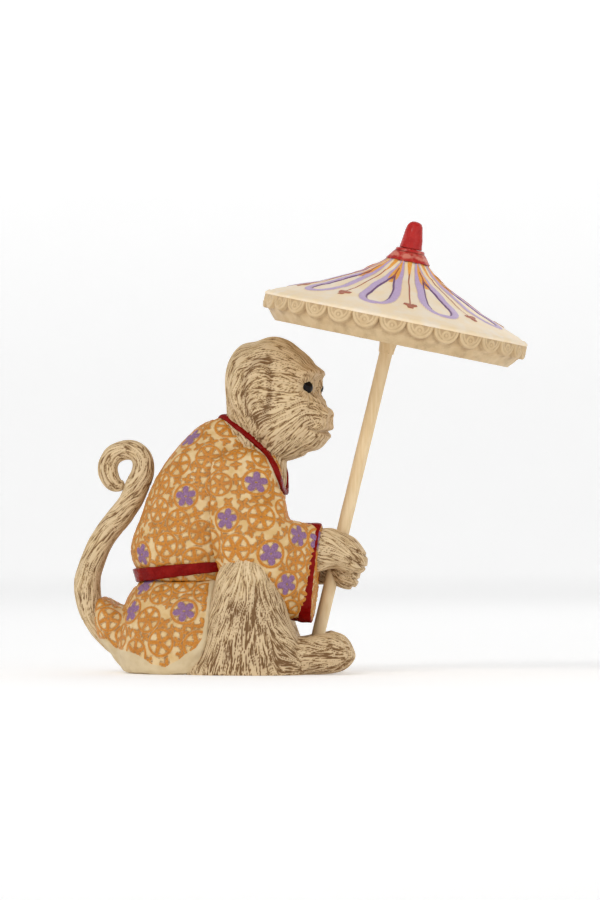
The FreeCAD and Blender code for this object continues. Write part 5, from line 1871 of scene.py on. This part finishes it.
def sweep_mesh():
    """Round floor that curves up into a wall, far outside every camera."""
    floor, wall, bend = 4.0, 3.2, 1.6
    profile = [(0.0, 0.0), (0.4, 0.0), (1.4, 0.0), (floor, 0.0)]
    profile += [(floor + bend * math.sin(a), bend * (1 - math.cos(a)))
                for a in (math.radians(15 * step) for step in range(1, 7))]
    profile.append((floor + bend, wall))
    segments = 96
    bearings = [2 * math.pi * k / segments for k in range(segments)]
    points = [(0.0, 0.0, 0.0)]
    for radius, height in profile[1:]:
        points += [(radius * math.cos(bearing), radius * math.sin(bearing), height) for bearing in bearings]
    faces = [(0, 1 + k, 1 + (k + 1) % segments) for k in range(segments)]
    for row in range(len(profile) - 2):
        low, high = 1 + row * segments, 1 + (row + 1) * segments
        faces += [(low + k, high + k, high + (k + 1) % segments, low + (k + 1) % segments)
                  for k in range(segments)]
    mesh = bpy.data.meshes.new("sweep")
    mesh.from_pydata(points, [], faces)
    shade_smooth(mesh)
    mesh.materials.append(finish_of("paper"))
    return mesh


def set_stage():
    """The sweep, the camera, the light from all round and the lamps."""
    scene = bpy.context.scene
    view = scene.figurine_view
    sweep = bpy.data.objects.new("sweep", sweep_mesh())
    scene.collection.objects.link(sweep)
    low, high = CAD_BOX
    centre = Vector(((low[0] + high[0]) / 2, 0.0, (low[2] + high[2]) / 2 - view.lift))
    toward = Vector((math.sin(view.azimuth), -math.cos(view.azimuth), 0.0))
    camera = bpy.data.objects.new("camera", bpy.data.cameras.new("camera"))
    scene.collection.objects.link(camera)
    camera.location = centre + toward * view.distance
    camera.location.z = view.height
    camera.rotation_mode = "QUATERNION"
    camera.rotation_quaternion = (centre - camera.location).to_track_quat("-Z", "Y")
    camera.data.sensor_width = 36.0
    camera.data.lens = camera.data.sensor_width * view.distance / view.field
    camera.data.clip_end = 30.0
    scene.camera = camera
    world = bpy.data.worlds.new("studio")
    world.use_nodes = True
    world.node_tree.nodes["Background"].inputs["Color"].default_value = (1.0, 1.0, 1.0, 1.0)
    world.node_tree.nodes["Background"].inputs["Strength"].default_value = ROOM_LIGHT
    scene.world = world
    scene.view_settings.view_transform = "Standard"
    for name, place, size, power, colour in LAMPS:
        add_light(name, place, centre, size, power, colour)


# operators

class FIGURINE_OT_robe(bpy.types.Operator):
    """Cut the rosettes in both halves of the robe and in the sleeves"""

    bl_idname = "figurine.robe"
    bl_label = "Robe"

    def execute(self, context):
        finish_robe_top()
        finish_robe_skirt()
        finish_sleeve("right", 13)
        finish_sleeve("left", 14)
        return {"FINISHED"}


class FIGURINE_OT_trims(bpy.types.Operator):
    """Brush the red bands at waist, neck and cuffs"""

    bl_idname = "figurine.trims"
    bl_label = "Trims"

    def execute(self, context):
        finish_trim("sash", 61)
        finish_trim("right_cuff_band", 62, wider=CUFF_WIDENING)
        finish_trim("left_cuff_band", 63, wider=CUFF_WIDENING)
        finish_collar()
        return {"FINISHED"}


class FIGURINE_OT_head(bpy.types.Operator):
    """Model the face and comb the head, and set the eyes"""

    bl_idname = "figurine.head"
    bl_label = "Head"

    def execute(self, context):
        finish_head()
        finish_eye("right_eye")
        finish_eye("left_eye")
        return {"FINISHED"}


class FIGURINE_OT_limbs(bpy.types.Operator):
    """Comb the legs and hands, and part the toes and fingers"""

    bl_idname = "figurine.limbs"
    bl_label = "Limbs"

    def execute(self, context):
        finish_leg("right_leg", -1, 23)
        finish_leg("left_leg", 1, 24)
        finish_hand("right_hand", 25, math.radians(-35))
        finish_hand("left_hand", 26, math.radians(-25))
        return {"FINISHED"}


class FIGURINE_OT_tail(bpy.types.Operator):
    """Comb the tail along its curl, and wear the seat"""

    bl_idname = "figurine.tail"
    bl_label = "Tail and seat"

    def execute(self, context):
        finish_tail()
        finish_seat()
        return {"FINISHED"}


class FIGURINE_OT_canopy(bpy.types.Operator):
    """Mould and paint the canopy and its valance"""

    bl_idname = "figurine.canopy"
    bl_label = "Canopy"

    def execute(self, context):
        finish_canopy()
        finish_valance()
        return {"FINISHED"}


class FIGURINE_OT_knob(bpy.types.Operator):
    """Turn the red cap and finial"""

    bl_idname = "figurine.knob"
    bl_label = "Cap and finial"

    def execute(self, context):
        finish_cap()
        finish_finial()
        return {"FINISHED"}


class FIGURINE_OT_pole(bpy.types.Operator):
    """Paint the pole and its tapered collar"""

    bl_idname = "figurine.pole"
    bl_label = "Pole"

    def execute(self, context):
        finish_pole()
        return {"FINISHED"}


class FIGURINE_OT_stage(bpy.types.Operator):
    """Pale sweep, soft lights and the camera"""

    bl_idname = "figurine.stage"
    bl_label = "Studio"

    def execute(self, context):
        set_stage()
        return {"FINISHED"}


STEPS = (FIGURINE_OT_stage, FIGURINE_OT_robe, FIGURINE_OT_trims, FIGURINE_OT_head, FIGURINE_OT_limbs,
         FIGURINE_OT_tail, FIGURINE_OT_canopy, FIGURINE_OT_knob, FIGURINE_OT_pole)


class FIGURINE_PT_panel(bpy.types.Panel):
    """Steps of the figurine's finish"""

    bl_idname = "FIGURINE_PT_panel"
    bl_label = "Figurine"
    bl_space_type = "VIEW_3D"
    bl_region_type = "UI"
    bl_category = "Figurine"

    def draw(self, context):
        column = self.layout.column()
        for step in STEPS:
            column.operator(step.bl_idname)


GROUPS = {"figurine_casting": FigurineCasting, "figurine_canopy": FigurineCanopy,
          "figurine_colours": FigurineColours, "figurine_view": FigurineView}


def register():
    for group in GROUPS.values():
        bpy.utils.register_class(group)
    for name, group in GROUPS.items():
        setattr(bpy.types.Scene, name, bpy.props.PointerProperty(type=group))
    for step in STEPS:
        bpy.utils.register_class(step)
    bpy.utils.register_class(FIGURINE_PT_panel)


def unregister():
    bpy.utils.unregister_class(FIGURINE_PT_panel)
    for step in reversed(STEPS):
        bpy.utils.unregister_class(step)
    for name, group in GROUPS.items():
        delattr(bpy.types.Scene, name)
        bpy.utils.unregister_class(group)


def main():
    register()
    for step in STEPS:
        getattr(bpy.ops.figurine, step.bl_idname.split(".")[1])()


if __name__ == "__main__":
    main()
